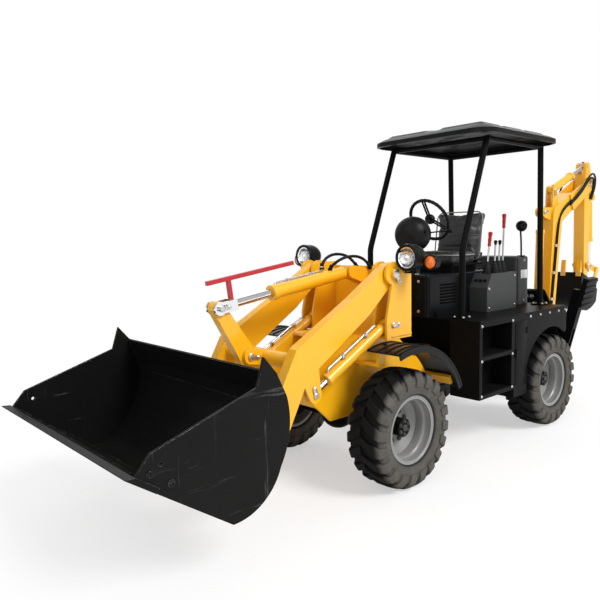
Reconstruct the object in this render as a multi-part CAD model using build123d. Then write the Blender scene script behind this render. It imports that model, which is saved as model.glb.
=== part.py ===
from build123d import *
import os
from math import atan2, cos, degrees, hypot, radians, sin

# All sizes are in millimetres and degrees. While modelling, x runs forward from the front
# axle, y to the left and z up from the ground. The finished machine is then moved along x
# so that its origin lies under the middle of its overall length.

# Wheels and axles
TYRE_RADIUS = 386
TYRE_WIDTH = 264
TREAD_RADIUS = 362
TREAD_HALF_WIDTH = 112
LUG_COUNT = 20
LUG_LENGTH = 112
LUG_WIDTH = 40
LUG_SLANT = 35
LUG_MIDDLE_Y = 64
LUG_ROOT = 10
RIM_RADIUS = 208
RIM_WIDTH = 208
RIM_THICKNESS = 9
RIM_FLANGE = 15
DISC_THICKNESS = 14
DISC_INSET = 52
WHEEL_OFFSET_Y = 558
WHEELBASE = 1900
AXLE_RADIUS = 62
AXLE_BULB_RADIUS = 126
HUB_RADIUS = 60
HUB_LENGTH = 92
DRUM_RADIUS = 130
DRUM_LENGTH = 60

# Fits
SEAT_GAP = 0.3
PIN_GAP = 0.3
ROD_GAP = 0.5
SIDE_GAP = 6
EYE_CHEEK = 0.7
GLAND_SWELL = 1.12

# Articulated front frame
PIVOT_X = -950
PIVOT_PIN_RADIUS = 35
PIVOT_LUG_RADIUS = 92
PIVOT_LUG_THICKNESS = 40
TAIL_HALF_WIDTH = 150
TAIL_BOTTOM = 470
TAIL_TOP = 730
TAIL_END_X = -830
FRAME_OUTER_Y = 262
FRAME_PLATE = 20
FRAME_BOTTOM = 432
FRAME_TOP = 950
FRAME_REAR_X = -640
FRAME_NOSE = (545, 622)
FRAME_CHIN_X = 335
FRAME_BROW = (505, 762)
FRAME_SHOULDER_X = 200
FRAME_FRONT_Z = (472, 820)
FRAME_TAIL_SLOPE = 100
TOWER_INNER_Y = 290
TOWER_PLATE = 20
TOWER_REAR_X = -305
TOWER_FRONT_X = -45
TOWER_TOP = 1440
TOWER_BACK_TOP = 1410
TOWER_BOSS_RADIUS = 78
TOWER_SHELF_END = -90
TILT_EAR_Z = (1265, 1400)

# Loader arms and their linkage
ARM_PIVOT = (-120, 1375)
ARM_GAP_Y = 10
ARM_THICKNESS = 70
ARM_BOSS_RADIUS = 66
ARM_SHOULDER = (252, 1228)
ARM_KNEE = (732, 971)
ARM_SHIN = (856, 756)
ARM_HEEL = (818, 467)
ARM_BELLY = (650, 775)
ARM_THROAT = (94, 1114)
BUCKET_PIN = (1085, 420)
BUCKET_PIN_RADIUS = 24
BUCKET_BOSS_RADIUS = 56
CROSS_TUBE = (684, 880)
CROSS_TUBE_RADIUS = 50
ROCKER_PIN = (812, 900)
ROCKER_TOP = (1019, 1216)
ROCKER_REACH = 330
ROCKER_LOWER_ANGLE = 258.5
ROCKER_THICKNESS = 60
ROCKER_HUB_RADIUS = 64
ROCKER_END_RADIUS = 42
LINK_PIN_RADIUS = 20
LINK_PLATE = 14
LINK_TOE_RADIUS = 26
BUCKET_LEVER = 166
BUCKET_LEVER_ANGLE = 85

# Loader bucket, drawn with its floor level and its heel at the origin
BUCKET_HEEL = (1454, 274)
BUCKET_ROLLBACK = 34.7
BUCKET_HALF_WIDTH = 775
BUCKET_SHEET = 12
BUCKET_SIDE = 16
BUCKET_LIP_X = 693
BUCKET_LIP_PLATE = 26
BUCKET_LIP_DEPTH = 170
BUCKET_LIP_OVERHANG = 16
BUCKET_BACK = (-86, 334)
BUCKET_BACK_TOP = (73, 648)
BUCKET_CREST = (196, 716)
BUCKET_EAR = (307, 744)
BUCKET_EDGE_TOP = (265, 604)
BUCKET_CHEEK = (633, 135)
BUCKET_FLOOR_END = (44, 0)
BUCKET_HEEL_BEND = (-64, 120)
BUCKET_BACK_BEND = (-44, 500)
BUCKET_LIP_SET = 60
BUCKET_NOSE = (645, 23)
BUCKET_HOLE = (563, 115)
BUCKET_BEVEL = 40
BUCKET_BEVEL_EDGE = 4
BUCKET_HINGE_ROOT = ((-30, 60), (-80, 250), (-84, 340))
BUCKET_TONGUE_ROOT = ((-80, 270), (-84, 380), (-30, 500))
BUCKET_INNER = ((60, 560), (-40, 460), (-72, 330), (-50, 110))
BUCKET_HOLE_RADIUS = 10
BUCKET_EAR_PLATE = 20

# Loader cylinders
LIFT_BASE = (-110, 1030)
LIFT_EYE = (585, 672)
LIFT_LUG_ROOT = (640, 850)
LIFT_LUG_RADIUS = 50
LIFT_LUG_ROOT_RADIUS = 80
LIFT_BARREL_RADIUS = 36
LIFT_ROD_RADIUS = 21
LIFT_BARREL_LENGTH = 640
LIFT_EXTENSION = 480
TILT_BARREL_RADIUS = 45
TILT_ROD_RADIUS = 26
TILT_BARREL_LENGTH = 725
TILT_EXTENSION = 60
ROD_FORK_LENGTH = 102
ROD_FORK_HALF = 33.6
ROD_FORK_BACK = 24
LEVEL_BAR_LENGTH = 640
LEVEL_BAR_RISE = 158
LEVEL_BAR_SIZE = 26

# Mudguards and lamps
FENDER_RADIUS = 540
FENDER_SHEET = 12
FENDER_START = 72
FENDER_END = 158
FENDER_INNER_Y = 428
FENDER_OUTER_Y = 700
FENDER_LIP = 40
FENDER_STRAP = 24
FENDER_ARM_X = (50, 110)
FENDER_ARM_Z = 784
FENDER_POST_INSET = 30
FENDER_STAY = (148, 155)
FENDER_STAY_Y = 640
LAMP_CENTRE = (-160, 500, 1478)
LAMP_RADIUS = 88
LAMP_LENGTH = 150
LAMP_STAY = 20
LAMP_STAY_X = (70, 110)
LAMP_STAY_DROP = 70
LENS_RADIUS = 72
SIGNAL_CENTRE = (-225, 636, 1448)
SIGNAL_RADIUS = 48

# Rear frame and body
RAIL_INNER_Y = 130
RAIL_OUTER_Y = 190
RAIL_BOTTOM = 520
RAIL_TOP = 680
RAIL_FRONT_X = -1050
SADDLE_REACH = 90
BODY_FRONT_X = -800
BODY_HALF_WIDTH = 650
SIDE_BOX_WIDTH = 250
BODY_BOTTOM = 415
BODY_REAR_X = -2170
BOX_REAR_X = -1492
PANEL_FRONT_X = -1288
PANEL_BOTTOM = 345
STEP_MARGIN = 36
STEP_DEPTH = 175
STEP_TREAD = 30
DECK_TOP = 995
DECK_SHEET = 10
SKIRT_SHEET = 14
ARCH_RADIUS = 452
BULKHEAD = 16

# Operator's station
HOOD_FRONT_X = -745
HOOD_REAR_X = -1640
HOOD_HALF_WIDTH = 230
HOOD_TOP = 1320
HOOD_SHEET = 12
HOOD_CORNER = 45
CONSOLE_FRONT_X = -1320
CONSOLE_REAR_X = -1780
CONSOLE_OUTER_Y = 392
CONSOLE_TOP = 1300
REAR_BOX_FRONT_X = -1960
REAR_BOX_REAR_X = -2160
REAR_BOX_HALF_WIDTH = 310
REAR_BOX_TOP = 1420
ENGINE_X = (-1590, -1130)
ENGINE_HALF_WIDTH = 170
ENGINE_TOP = 1200
ENGINE_GAP = 40
SEAT_X = (-1550, -1100)
SEAT_HALF_WIDTH = 230
SEAT_BASE_HEIGHT = 70
CUSHION_THICKNESS = 85
SEAT_BACK_TOP = 1820
SEAT_BACK_THICKNESS = 90
SEAT_BACK_LEAN = 60
SEAT_PAN = 16
SEAT_PAN_INSET = 20
SEAT_BOX_INSET = (30, 60)
SEAT_BOX_HALF_WIDTH = 160
SEAT_PLATE_DROP = 60
SEAT_ROUND = 26
COLUMN_RADIUS = 38
DASH_CENTRE = (-870, 1630)
DASH_RADIUS = 142
DASH_DEPTH = 213
WHEEL_CENTRE = (-1085, 1745)
STEERING_WHEEL_RADIUS = 190
STEERING_RIM_RADIUS = 15
STEERING_HUB_HEIGHT = 40
STEERING_SPOKE = 34
LEVER_RADIUS = 9
LEVER_Y = 311
TALL_LEVERS = ((-1440, -1500, 1640), (-1690, -1712, 1790))
SHORT_LEVERS = ((-1560, -1580, 1570), (-1625, -1648, 1570))
GRIP_RADIUS = 17
GRIP_LENGTH = 120
BOOT_RADIUS = 34
BOOT_HEIGHT = 60
BOOT_NECK = 13.5

# Canopy
POST_RADIUS = 24
POST_Y = 451
FRONT_POST_FOOT_X = -875
FRONT_POST_BEND_Z = 1513
FRONT_POST_TOP_X = -1205
FRONT_POST_BEND = 160
REAR_POST_FOOT_X = -2085
REAR_POST_TOP_X = -2046
POST_TOP = 2375
POST_FOOT_PLATE = 12
POST_FOOT_SIZE = 110
ROOF_X = (-2200, -1010)
ROOF_HALF_WIDTH = 565
ROOF_RISE = 118
ROOF_EDGE = 40
ROOF_CORNER = 150
ROOF_SHEET = 14
ROOF_SEAT = 4
ROOF_BROW = 120
ROOF_BROW_RISE = 73.16
ROOF_CROWN = 300

# Backhoe frame, stabilisers and swing post
STAND_X = -2600
STAND_GAP = 88
STAND_PLATE = 20
STAND_HALF_WIDTH = 470
STAND_BOTTOM = 400
STAND_TOP = 1075
STAND_SHOULDER = 640
STAND_CORE = 85
LEG_PIVOT = (420, 470)
LEG_LENGTH = 640
LEG_LEAN = 14
LEG_DEPTH = 96
LEG_CHEEK = 16
LEG_PIN_RADIUS = 22
PAD_LENGTH = 270
PAD_WIDTH = 210
PAD_THICKNESS = 46
STAB_BASE = (150, 1015)
STAB_LEVER = 180
STAB_BARREL_RADIUS = 29
STAB_ROD_RADIUS = 16
STAB_BARREL_LENGTH = 375
STAB_EXTENSION = 290
SWING_X = -2950
SWING_PIN_RADIUS = 34
SWING_LUG_RADIUS = 76
SWING_LUG_THICKNESS = 36
SWING_LOW = 400
SWING_HIGH = 760
SWING_LUG_ROOT = 230
SWING_LUG_TAPER = 120
SWING_HEAD_RADIUS = 50
SWING_HEAD = 24
SWING_CHEEK_ROOT = 30

# Backhoe boom, dipper and bucket
BOOM_FOOT = (-3095, 640)
BOOM_FOOT_RADIUS = 62
BOOM_HALF_WIDTH = 66
BOOM_BEND = (-3215, 1800)
BOOM_BEND_RADIUS = 100
BOOM_TIP = (-3940, 2150)
BOOM_TIP_RADIUS = 72
FORK_PLATE = 20
FORK_LENGTH = 440
FORK_LAP = 60
BOOM_EAR_ROOT = 80
BOOM_SLOT = 70
BOOM_CYL_BASE = (-2935, 892)
BOOM_CYL_EYE = (-2975, 1830)
DIPPER_CYL_BASE = (-3195, 2060)
DIPPER_HALF_WIDTH = 58
DIPPER_TOP = (-3922, 2340)
DIPPER_TOP_RADIUS = 46
DIPPER_ROOT_RADIUS = 95
DIPPER_SLOT = 60
DIG_SLOT = 16
DIPPER_END = (-3926, 1060)
DIPPER_END_RADIUS = 46
DIG_PIN_RADIUS = 22
LINK_END_RADIUS = 30
DIG_BASE = (-4085, 2010)
GUIDE_PIN = (-3935, 1251)
GUIDE_LENGTH = 212
GUIDE_ANGLE = 195.8
GUIDE_PLATE = 16
DIG_LEVER = 125
DIG_LEVER_ANGLE = 225
DIG_HALF_WIDTH = 200
DIG_SHEET = 12
DIG_LIP = (-3505, 1195)
DIG_TOE = (-3495, 950)
DIG_HEEL = (-3640, 775)
DIG_BACK = (-3880, 860)
DIG_NECK = (-3905, 985)
DIG_THROAT = (-3790, 1085)
DIG_EAR_PLATE = 16
TOOTH_COUNT = 3
TOOTH_LENGTH = 130
TOOTH_WIDTH = 46
TOOTH_THICKNESS = 38
TOOTH_TIP = 6
TOOTH_SHANK = 40
DIG_BARREL_RADIUS = 40
DIG_ROD_RADIUS = 22
BOOM_BARREL_LENGTH = 760
BOOM_EXTENSION = 430
DIPPER_BARREL_LENGTH = 455
DIPPER_EXTENSION = 75
CURL_BARREL_LENGTH = 500
CURL_EXTENSION = 40

# Steering cylinder
STEER_BASE = (-1330, -305)
STEER_EYE = (-700, -250)
STEER_Z = 600
STEER_BARREL_RADIUS = 30
STEER_ROD_RADIUS = 17
STEER_BARREL_LENGTH = 400
STEER_EXTENSION = 130

# Values worked out from the driving dimensions
AXLE_Z = TYRE_RADIUS
ROOF_BOTTOM = POST_TOP - ROOF_SEAT
REAR_AXLE_X = -WHEELBASE
ARM_Y = TOWER_INNER_Y + TOWER_PLATE + ARM_GAP_Y
ARM_OUTER_Y = ARM_Y + ARM_THICKNESS
ARM_MID_Y = ARM_Y + ARM_THICKNESS / 2
TOWER_OUTER_Y = ARM_OUTER_Y + ARM_GAP_Y
DECK_BOTTOM = DECK_TOP - DECK_SHEET
BODY_INNER_Y = BODY_HALF_WIDTH - SIDE_BOX_WIDTH


def polar(centre, radius, angle):
    """Point at a radius and an angle, in degrees, from a centre."""
    return (centre[0] + radius * cos(radians(angle)), centre[1] + radius * sin(radians(angle)))


ROCKER_LOW = polar(ROCKER_PIN, ROCKER_REACH, ROCKER_LOWER_ANGLE)
LINK_PIN = polar(BUCKET_PIN, BUCKET_LEVER, BUCKET_LEVER_ANGLE)
GUIDE_END = polar(GUIDE_PIN, GUIDE_LENGTH, GUIDE_ANGLE)
DIG_LINK_PIN = polar(DIPPER_END, DIG_LEVER, DIG_LEVER_ANGLE)
LEG_EYE = polar(LEG_PIVOT, STAB_LEVER, 90 - LEG_LEAN)


# Basic forms
def block(x, y, z):
    """Box between low and high values on each axis."""
    middle = Pos((x[0] + x[1]) / 2, (y[0] + y[1]) / 2, (z[0] + z[1]) / 2)
    return middle * Box(abs(x[1] - x[0]), abs(y[1] - y[0]), abs(z[1] - z[0]))


def side_plate(face, y):
    """A sketch of the side view, extruded between two y values."""
    return extrude(Plane.XZ.offset(-max(y)) * face, amount=abs(y[1] - y[0]), dir=(0, -1, 0))


def rear_plate(face, x):
    """A sketch of the rear view, y across and z up, extruded between two x values."""
    return extrude(Plane.YZ.offset(min(x)) * face, amount=abs(x[1] - x[0]), dir=(1, 0, 0))


def floor_plate(face, z):
    """A sketch of the plan view, extruded between two heights."""
    return extrude(Plane.XY.offset(min(z)) * face, amount=abs(z[1] - z[0]), dir=(0, 0, 1))


def disc(centre, radius):
    """Circle in a sketch."""
    return Pos(*centre) * Circle(radius)


def outline(points, radius=0):
    """Closed outline with rounded corners."""
    turns = [a[0] * b[1] - b[0] * a[1] for a, b in zip(points, points[1:] + points[:1])]
    face = Polygon(*(points if sum(turns) > 0 else points[::-1]), align=None)
    return fillet(face.vertices(), radius) if radius else face


def strap(start, end, start_radius, end_radius):
    """Outline wrapped round two circles."""
    return make_hull(disc(start, start_radius).edges() + disc(end, end_radius).edges())


def cross_pin(centre, radius, y):
    """Round bar along y."""
    return side_plate(disc(centre, radius), y)


def bar(start, end, radius):
    """Round bar between two points."""
    along = Vector(*end) - Vector(*start)
    place = Plane(origin=start, z_dir=along)
    return place * Cylinder(radius, along.length, align=(Align.CENTER, Align.CENTER, Align.MIN))


def mirrored(shape):
    """The same piece on the other side of the machine."""
    return mirror(shape, about=Plane.XZ)


def both_sides(shape):
    """A left-hand piece and its right-hand twin."""
    return shape + mirrored(shape)


def pair(shape):
    """A left-hand piece and its right-hand twin as two solids."""
    return Compound([*shape.solids(), *mirrored(shape).solids()])


def cylinder_pair(base, eye, axis, radii, barrel_length, extension, eye_width, pin_radius):
    """Hydraulic barrel with a bored base eye, and its rod with a plain eye."""
    barrel_radius, rod_radius = radii
    along = Vector(*eye) - Vector(*base)
    place = Plane(origin=base, x_dir=along, z_dir=along.cross(Vector(*axis)))
    eye_radius = barrel_radius
    neck = eye_radius + 2 * SIDE_GAP
    tail = barrel_length - extension - barrel_radius
    lying = (Align.CENTER, Align.CENTER, Align.MIN)

    def round_eye():
        return Rot(90, 0, 0) * Cylinder(eye_radius, eye_width)

    def shaft(radius, start, end):
        return Pos(start, 0, 0) * Rot(0, 90, 0) * Cylinder(radius, end - start, align=lying)

    cheek = EYE_CHEEK * eye_radius
    barrel = round_eye() + block((0, neck + SIDE_GAP), (-eye_width / 2, eye_width / 2), (-cheek, cheek))
    barrel += shaft(barrel_radius, neck, barrel_length)
    barrel += shaft(barrel_radius * GLAND_SWELL, barrel_length - barrel_radius, barrel_length)
    barrel -= Rot(90, 0, 0) * Cylinder(pin_radius + PIN_GAP, 4 * barrel_radius)
    barrel -= shaft(rod_radius + ROD_GAP, neck + 2 * SIDE_GAP, barrel_length + SIDE_GAP)
    rod = shaft(rod_radius, tail, along.length)
    rod += Pos(along.length, 0, 0) * round_eye()
    return place * barrel, place * rod


# Wheels and axles
def carcass():
    """Tyre section under the tread, turned about the wheel's axis."""
    half = TYRE_WIDTH / 2
    bead = RIM_RADIUS + SEAT_GAP
    flange = RIM_RADIUS + RIM_FLANGE + SEAT_GAP
    bead_half = RIM_WIDTH / 2 - RIM_FLANGE / 2 - SEAT_GAP
    belly = (flange + TREAD_RADIUS) / 2
    crown = TREAD_RADIUS - LUG_ROOT / 2
    shoulder = TREAD_RADIUS - LUG_ROOT
    shoulder_half = half - LUG_ROOT / 2
    profile = Polyline((flange, bead_half), (bead, bead_half), (bead, -bead_half), (flange, -bead_half))
    profile += ThreePointArc((flange, -bead_half), (belly, -half), (shoulder, -shoulder_half))
    edge = TREAD_HALF_WIDTH
    profile += Polyline((shoulder, -shoulder_half), (crown, -edge), (crown, edge), (shoulder, shoulder_half))
    profile += ThreePointArc((shoulder, shoulder_half), (belly, half), (flange, bead_half))
    return revolve(make_face(profile), Axis.Y)


def tyre():
    """Tyre: flat-sided tread with slanted block lugs, set so that one lug's corner touches the ground."""
    pitch = 360 / LUG_COUNT
    slant = radians(LUG_SLANT)
    corner = LUG_WIDTH / 2 * cos(slant) + LUG_LENGTH / 2 * sin(slant)
    top = (TYRE_RADIUS**2 - corner**2) ** 0.5
    base = TREAD_RADIUS - LUG_ROOT
    first = 180 - degrees(atan2(corner, top))
    reach = TREAD_RADIUS / cos(radians(pitch / 2))
    flats = [polar((0, 0), reach, 90 - first + (turn + 0.5) * pitch) for turn in range(LUG_COUNT)]
    band = outline(flats) - disc((0, 0), TREAD_RADIUS - 2 * LUG_ROOT)
    tread = side_plate(band, (-TREAD_HALF_WIDTH, TREAD_HALF_WIDTH))
    lugs = []
    for side, shift in ((1, 0), (-1, 0.5)):
        lug = Rot(0, 0, side * LUG_SLANT) * Box(LUG_WIDTH, LUG_LENGTH, top - base)
        lug = Pos(0, side * LUG_MIDDLE_Y, (base + top) / 2) * lug
        lugs += [Rot(0, first + (turn + shift) * pitch, 0) * lug for turn in range(LUG_COUNT)]
    return (carcass() + tread).fuse(*lugs)


def rim():
    """Deep-dished rim: barrel with two flanges, and a disc set in from the outside."""
    half = RIM_WIDTH / 2
    barrel = revolve(Pos(RIM_RADIUS - RIM_THICKNESS / 2, 0) * Rectangle(RIM_THICKNESS, RIM_WIDTH), Axis.Y)
    flange = revolve(Pos(RIM_RADIUS + RIM_FLANGE / 2, 0) * Rectangle(RIM_FLANGE, RIM_FLANGE / 2), Axis.Y)
    for side in (-1, 1):
        barrel += Pos(0, side * (half - RIM_FLANGE / 4), 0) * flange
    web = outline(
        [
            (HUB_RADIUS + PIN_GAP, -DISC_INSET),
            (DRUM_RADIUS, -DISC_INSET),
            (RIM_RADIUS - RIM_THICKNESS / 2, -DISC_INSET + 3 * DISC_THICKNESS),
            (RIM_RADIUS - RIM_THICKNESS / 2, -DISC_INSET + 4 * DISC_THICKNESS),
            (DRUM_RADIUS, -DISC_INSET + DISC_THICKNESS),
            (HUB_RADIUS + PIN_GAP, -DISC_INSET + DISC_THICKNESS),
        ]
    )
    return barrel + revolve(web, Axis.Y)


def axle(x):
    """Axle casing with its central bulb, brake drums and the hubs that carry the wheels."""
    drum_face = WHEEL_OFFSET_Y - DISC_INSET - SEAT_GAP
    centre = (x, AXLE_Z)
    casing = cross_pin(centre, AXLE_RADIUS, (-drum_face, drum_face))
    bulb = Pos(x, 0, AXLE_Z) * Sphere(AXLE_BULB_RADIUS)
    casing += bulb & block((x - 400, x + 400), (-FRAME_OUTER_Y, FRAME_OUTER_Y), (0, 2 * AXLE_Z))
    drum = cross_pin(centre, DRUM_RADIUS, (drum_face - DRUM_LENGTH, drum_face))
    hub = cross_pin(centre, HUB_RADIUS, (drum_face, drum_face + HUB_LENGTH))
    return casing + both_sides(drum + hub)


# Front frame
def tower_outline():
    """Side view of the plates that carry the loader arms."""
    plate = outline(
        [
            (TOWER_REAR_X, FRAME_TOP - FRAME_PLATE),
            (TOWER_FRONT_X, FRAME_TOP - FRAME_PLATE),
            (TOWER_FRONT_X, LIFT_BASE[1] + LIFT_BARREL_RADIUS),
            (ARM_PIVOT[0], ARM_PIVOT[1]),
            (ARM_PIVOT[0], TOWER_TOP),
            (TOWER_REAR_X, TOWER_TOP),
        ]
    )
    return plate + disc(ARM_PIVOT, TOWER_BOSS_RADIUS)


def front_frame():
    """Welded frame: two cheeks, the tower for the arms and the tail with its pivot lugs."""
    cheek = outline(
        [
            (FRAME_CHIN_X, FRAME_BOTTOM),
            FRAME_NOSE,
            FRAME_BROW,
            (FRAME_SHOULDER_X, FRAME_TOP),
            (TOWER_REAR_X, FRAME_TOP),
            (FRAME_REAR_X + FRAME_TAIL_SLOPE, TAIL_TOP),
            (FRAME_REAR_X, TAIL_TOP),
            (FRAME_REAR_X, TAIL_BOTTOM),
            (FRAME_REAR_X + FRAME_TAIL_SLOPE, FRAME_BOTTOM),
        ]
    )
    cheek -= disc((0, AXLE_Z), AXLE_RADIUS + SEAT_GAP)
    cheek_y = (FRAME_OUTER_Y - FRAME_PLATE, FRAME_OUTER_Y)
    tower = tower_outline()
    inner = (TOWER_INNER_Y, TOWER_INNER_Y + TOWER_PLATE)
    outer = (TOWER_OUTER_Y, TOWER_OUTER_Y + TOWER_PLATE)
    half = side_plate(cheek, cheek_y) + side_plate(tower, inner) + side_plate(tower, outer)
    half += cross_pin(ARM_PIVOT, ARM_BOSS_RADIUS / 2, (inner[0], outer[1] + FRAME_PLATE))
    half += cross_pin(LIFT_BASE, LINK_PIN_RADIUS, (inner[0], outer[1] + SIDE_GAP))
    frame = both_sides(half)
    table_edge = TOWER_OUTER_Y + TOWER_PLATE
    shelf_z = (FRAME_TOP - FRAME_PLATE, FRAME_TOP)
    back_x = (TOWER_REAR_X, TOWER_REAR_X + TOWER_PLATE)
    front_x = (FRAME_CHIN_X - 3 * FRAME_PLATE, FRAME_CHIN_X - 2 * FRAME_PLATE)
    frame += block((TOWER_REAR_X, TOWER_SHELF_END), (-table_edge, table_edge), shelf_z)
    frame += block((TOWER_REAR_X, FRAME_SHOULDER_X), (-FRAME_OUTER_Y, FRAME_OUTER_Y), shelf_z)
    frame += block(back_x, (-TOWER_INNER_Y, TOWER_INNER_Y), (FRAME_TOP, TOWER_BACK_TOP))
    frame += block(front_x, (-FRAME_OUTER_Y, FRAME_OUTER_Y), FRAME_FRONT_Z)
    frame += tilt_bracket() + tail() + steering_ears() + fender_straps()
    return frame


def tilt_bracket():
    """Two ears and a pin for the base of the tilt cylinder, on the arms' pivot line."""
    ear = outline(
        [
            (TOWER_REAR_X, TILT_EAR_Z[0]),
            (ARM_PIVOT[0], ARM_PIVOT[1] - TILT_BARREL_RADIUS),
            (ARM_PIVOT[0], ARM_PIVOT[1] + TILT_BARREL_RADIUS),
            (TOWER_REAR_X, TILT_EAR_Z[1]),
        ]
    )
    ear += disc(ARM_PIVOT, TILT_BARREL_RADIUS)
    inside = ROCKER_THICKNESS / 2 + SIDE_GAP
    plates = both_sides(side_plate(ear, (inside, inside + TOWER_PLATE)))
    return plates + cross_pin(ARM_PIVOT, LINK_PIN_RADIUS, (-inside - TOWER_PLATE, inside + TOWER_PLATE))


def tail():
    """Box behind the axle with an upper and a lower lug round the articulation pin."""
    box = block((TAIL_END_X, FRAME_REAR_X + 60), (-TAIL_HALF_WIDTH, TAIL_HALF_WIDTH), (TAIL_BOTTOM, TAIL_TOP))
    closing = block(
        (FRAME_REAR_X, FRAME_REAR_X + FRAME_PLATE), (-FRAME_OUTER_Y, FRAME_OUTER_Y), (TAIL_BOTTOM, TAIL_TOP)
    )
    lug = outline(
        [
            (TAIL_END_X + 10, -TAIL_HALF_WIDTH),
            (TAIL_END_X + 10, TAIL_HALF_WIDTH),
            (PIVOT_X, PIVOT_LUG_RADIUS),
            (PIVOT_X, -PIVOT_LUG_RADIUS),
        ]
    )
    lug += disc((PIVOT_X, 0), PIVOT_LUG_RADIUS)
    lug -= disc((PIVOT_X, 0), PIVOT_PIN_RADIUS + PIN_GAP)
    lower = floor_plate(lug, (TAIL_BOTTOM, TAIL_BOTTOM + PIVOT_LUG_THICKNESS))
    upper = floor_plate(lug, (TAIL_TOP - PIVOT_LUG_THICKNESS, TAIL_TOP))
    return box + closing + lower + upper


def steering_ears():
    """Upper and lower plate beside the tail, round the eye of the steering rod."""
    reach = STEER_BARREL_RADIUS
    plate = strap((STEER_EYE[0], -TAIL_HALF_WIDTH + 30), STEER_EYE, reach, reach)
    inside = STEER_BARREL_RADIUS / 2 + SIDE_GAP
    lower = floor_plate(plate, (STEER_Z - inside - FRAME_PLATE, STEER_Z - inside))
    upper = floor_plate(plate, (STEER_Z + inside, STEER_Z + inside + FRAME_PLATE))
    return lower + upper


def fender_band(inner_radius, outer_radius, start, end, y):
    """Curved strip round the front axle between two angles."""
    centre = (0, AXLE_Z)
    ring = disc(centre, outer_radius) - disc(centre, inner_radius)
    reach = 2 * outer_radius
    fan = [polar(centre, reach, angle) for angle in (start, (start + end) / 2, end)]
    sector = outline([centre, *fan])
    return side_plate(ring & sector, y)


def fender_straps():
    """Brackets under each mudguard: a crank in front, clear of the lift cylinder, and a strap behind."""
    top = FENDER_RADIUS - FENDER_SHEET - SEAT_GAP
    inner_y = FRAME_OUTER_Y - FRAME_PLATE / 2
    post_y = FENDER_INNER_Y + FENDER_POST_INSET
    arm_z = (FENDER_ARM_Z, FENDER_ARM_Z + FENDER_STRAP)
    crank = block(FENDER_ARM_X, (inner_y, post_y + FENDER_STRAP), arm_z)
    crank += block(FENDER_ARM_X, (post_y, post_y + FENDER_STRAP), (FENDER_ARM_Z, AXLE_Z + FENDER_RADIUS))
    crank &= cross_pin((0, AXLE_Z), top, (0, FENDER_OUTER_Y))
    rear = fender_band(top - FENDER_STRAP, top, *FENDER_STAY, (inner_y, FENDER_STAY_Y))
    return both_sides(crank + rear)


def front_fender():
    """Left mudguard: a curved sheet with a turned-down outer lip."""
    y = (FENDER_INNER_Y, FENDER_OUTER_Y)
    sheet = fender_band(FENDER_RADIUS - FENDER_SHEET, FENDER_RADIUS, FENDER_START, FENDER_END, y)
    lip_y = (FENDER_OUTER_Y - FENDER_SHEET, FENDER_OUTER_Y)
    return sheet + fender_band(FENDER_RADIUS - FENDER_LIP, FENDER_RADIUS, FENDER_START, FENDER_END, lip_y)


def headlamp():
    """Left lamp body: a rounded bowl on a bracket, with a side pod for the turn signal."""
    x, y, z = LAMP_CENTRE
    back_radius = LAMP_RADIUS / 4
    straight = -LAMP_LENGTH / 3
    bulge = (-LAMP_LENGTH * 0.8, LAMP_RADIUS * 0.7)
    back = (-LAMP_LENGTH, back_radius)
    bowl = Polyline(back, (-LAMP_LENGTH, 0), (0, 0), (0, LAMP_RADIUS), (straight, LAMP_RADIUS))
    bowl += ThreePointArc((straight, LAMP_RADIUS), bulge, back)
    body = Pos(x, y, z) * revolve(make_face(bowl), Axis.X)
    sx, sy, sz = SIGNAL_CENTRE
    body += bar((sx - SIGNAL_RADIUS, y, sz), (sx - SIGNAL_RADIUS * 0.7, sy, sz), SIGNAL_RADIUS / 2)
    body += Pos(sx, sy, sz) * Rot(0, 90, 0) * Cylinder(
        SIGNAL_RADIUS, SIGNAL_RADIUS, align=(Align.CENTER, Align.CENTER, Align.MAX)
    )
    table = TOWER_OUTER_Y + TOWER_PLATE
    stay_x = (x - LAMP_STAY_X[1], x - LAMP_STAY_X[0])
    stay_z = TOWER_TOP - LAMP_STAY_DROP
    body += block(stay_x, (table, y), (stay_z, stay_z + LAMP_STAY))
    body += block(stay_x, (y - LAMP_STAY, y + LAMP_STAY), (stay_z, z))
    return body - block((x - 2 * LAMP_LENGTH, x), (0, table), (0, 2 * z))


def dome(radius, depth):
    """Shallow round lens with its flat face at the origin, bulging forward."""
    tip = radius / 12
    profile = Polyline((depth, tip), (depth, 0), (0, 0), (0, radius))
    profile += ThreePointArc((0, radius), (depth * 0.8, radius / 2), (depth, tip))
    return revolve(make_face(profile), Axis.X)


def lamp_lens():
    """Left headlamp glass on the bowl's face."""
    return Pos(*LAMP_CENTRE) * dome(LENS_RADIUS, LENS_RADIUS / 4)


def turn_signal():
    """Left amber signal lens."""
    return Pos(*SIGNAL_CENTRE) * dome(SIGNAL_RADIUS * 0.9, SIGNAL_RADIUS / 2)


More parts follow.
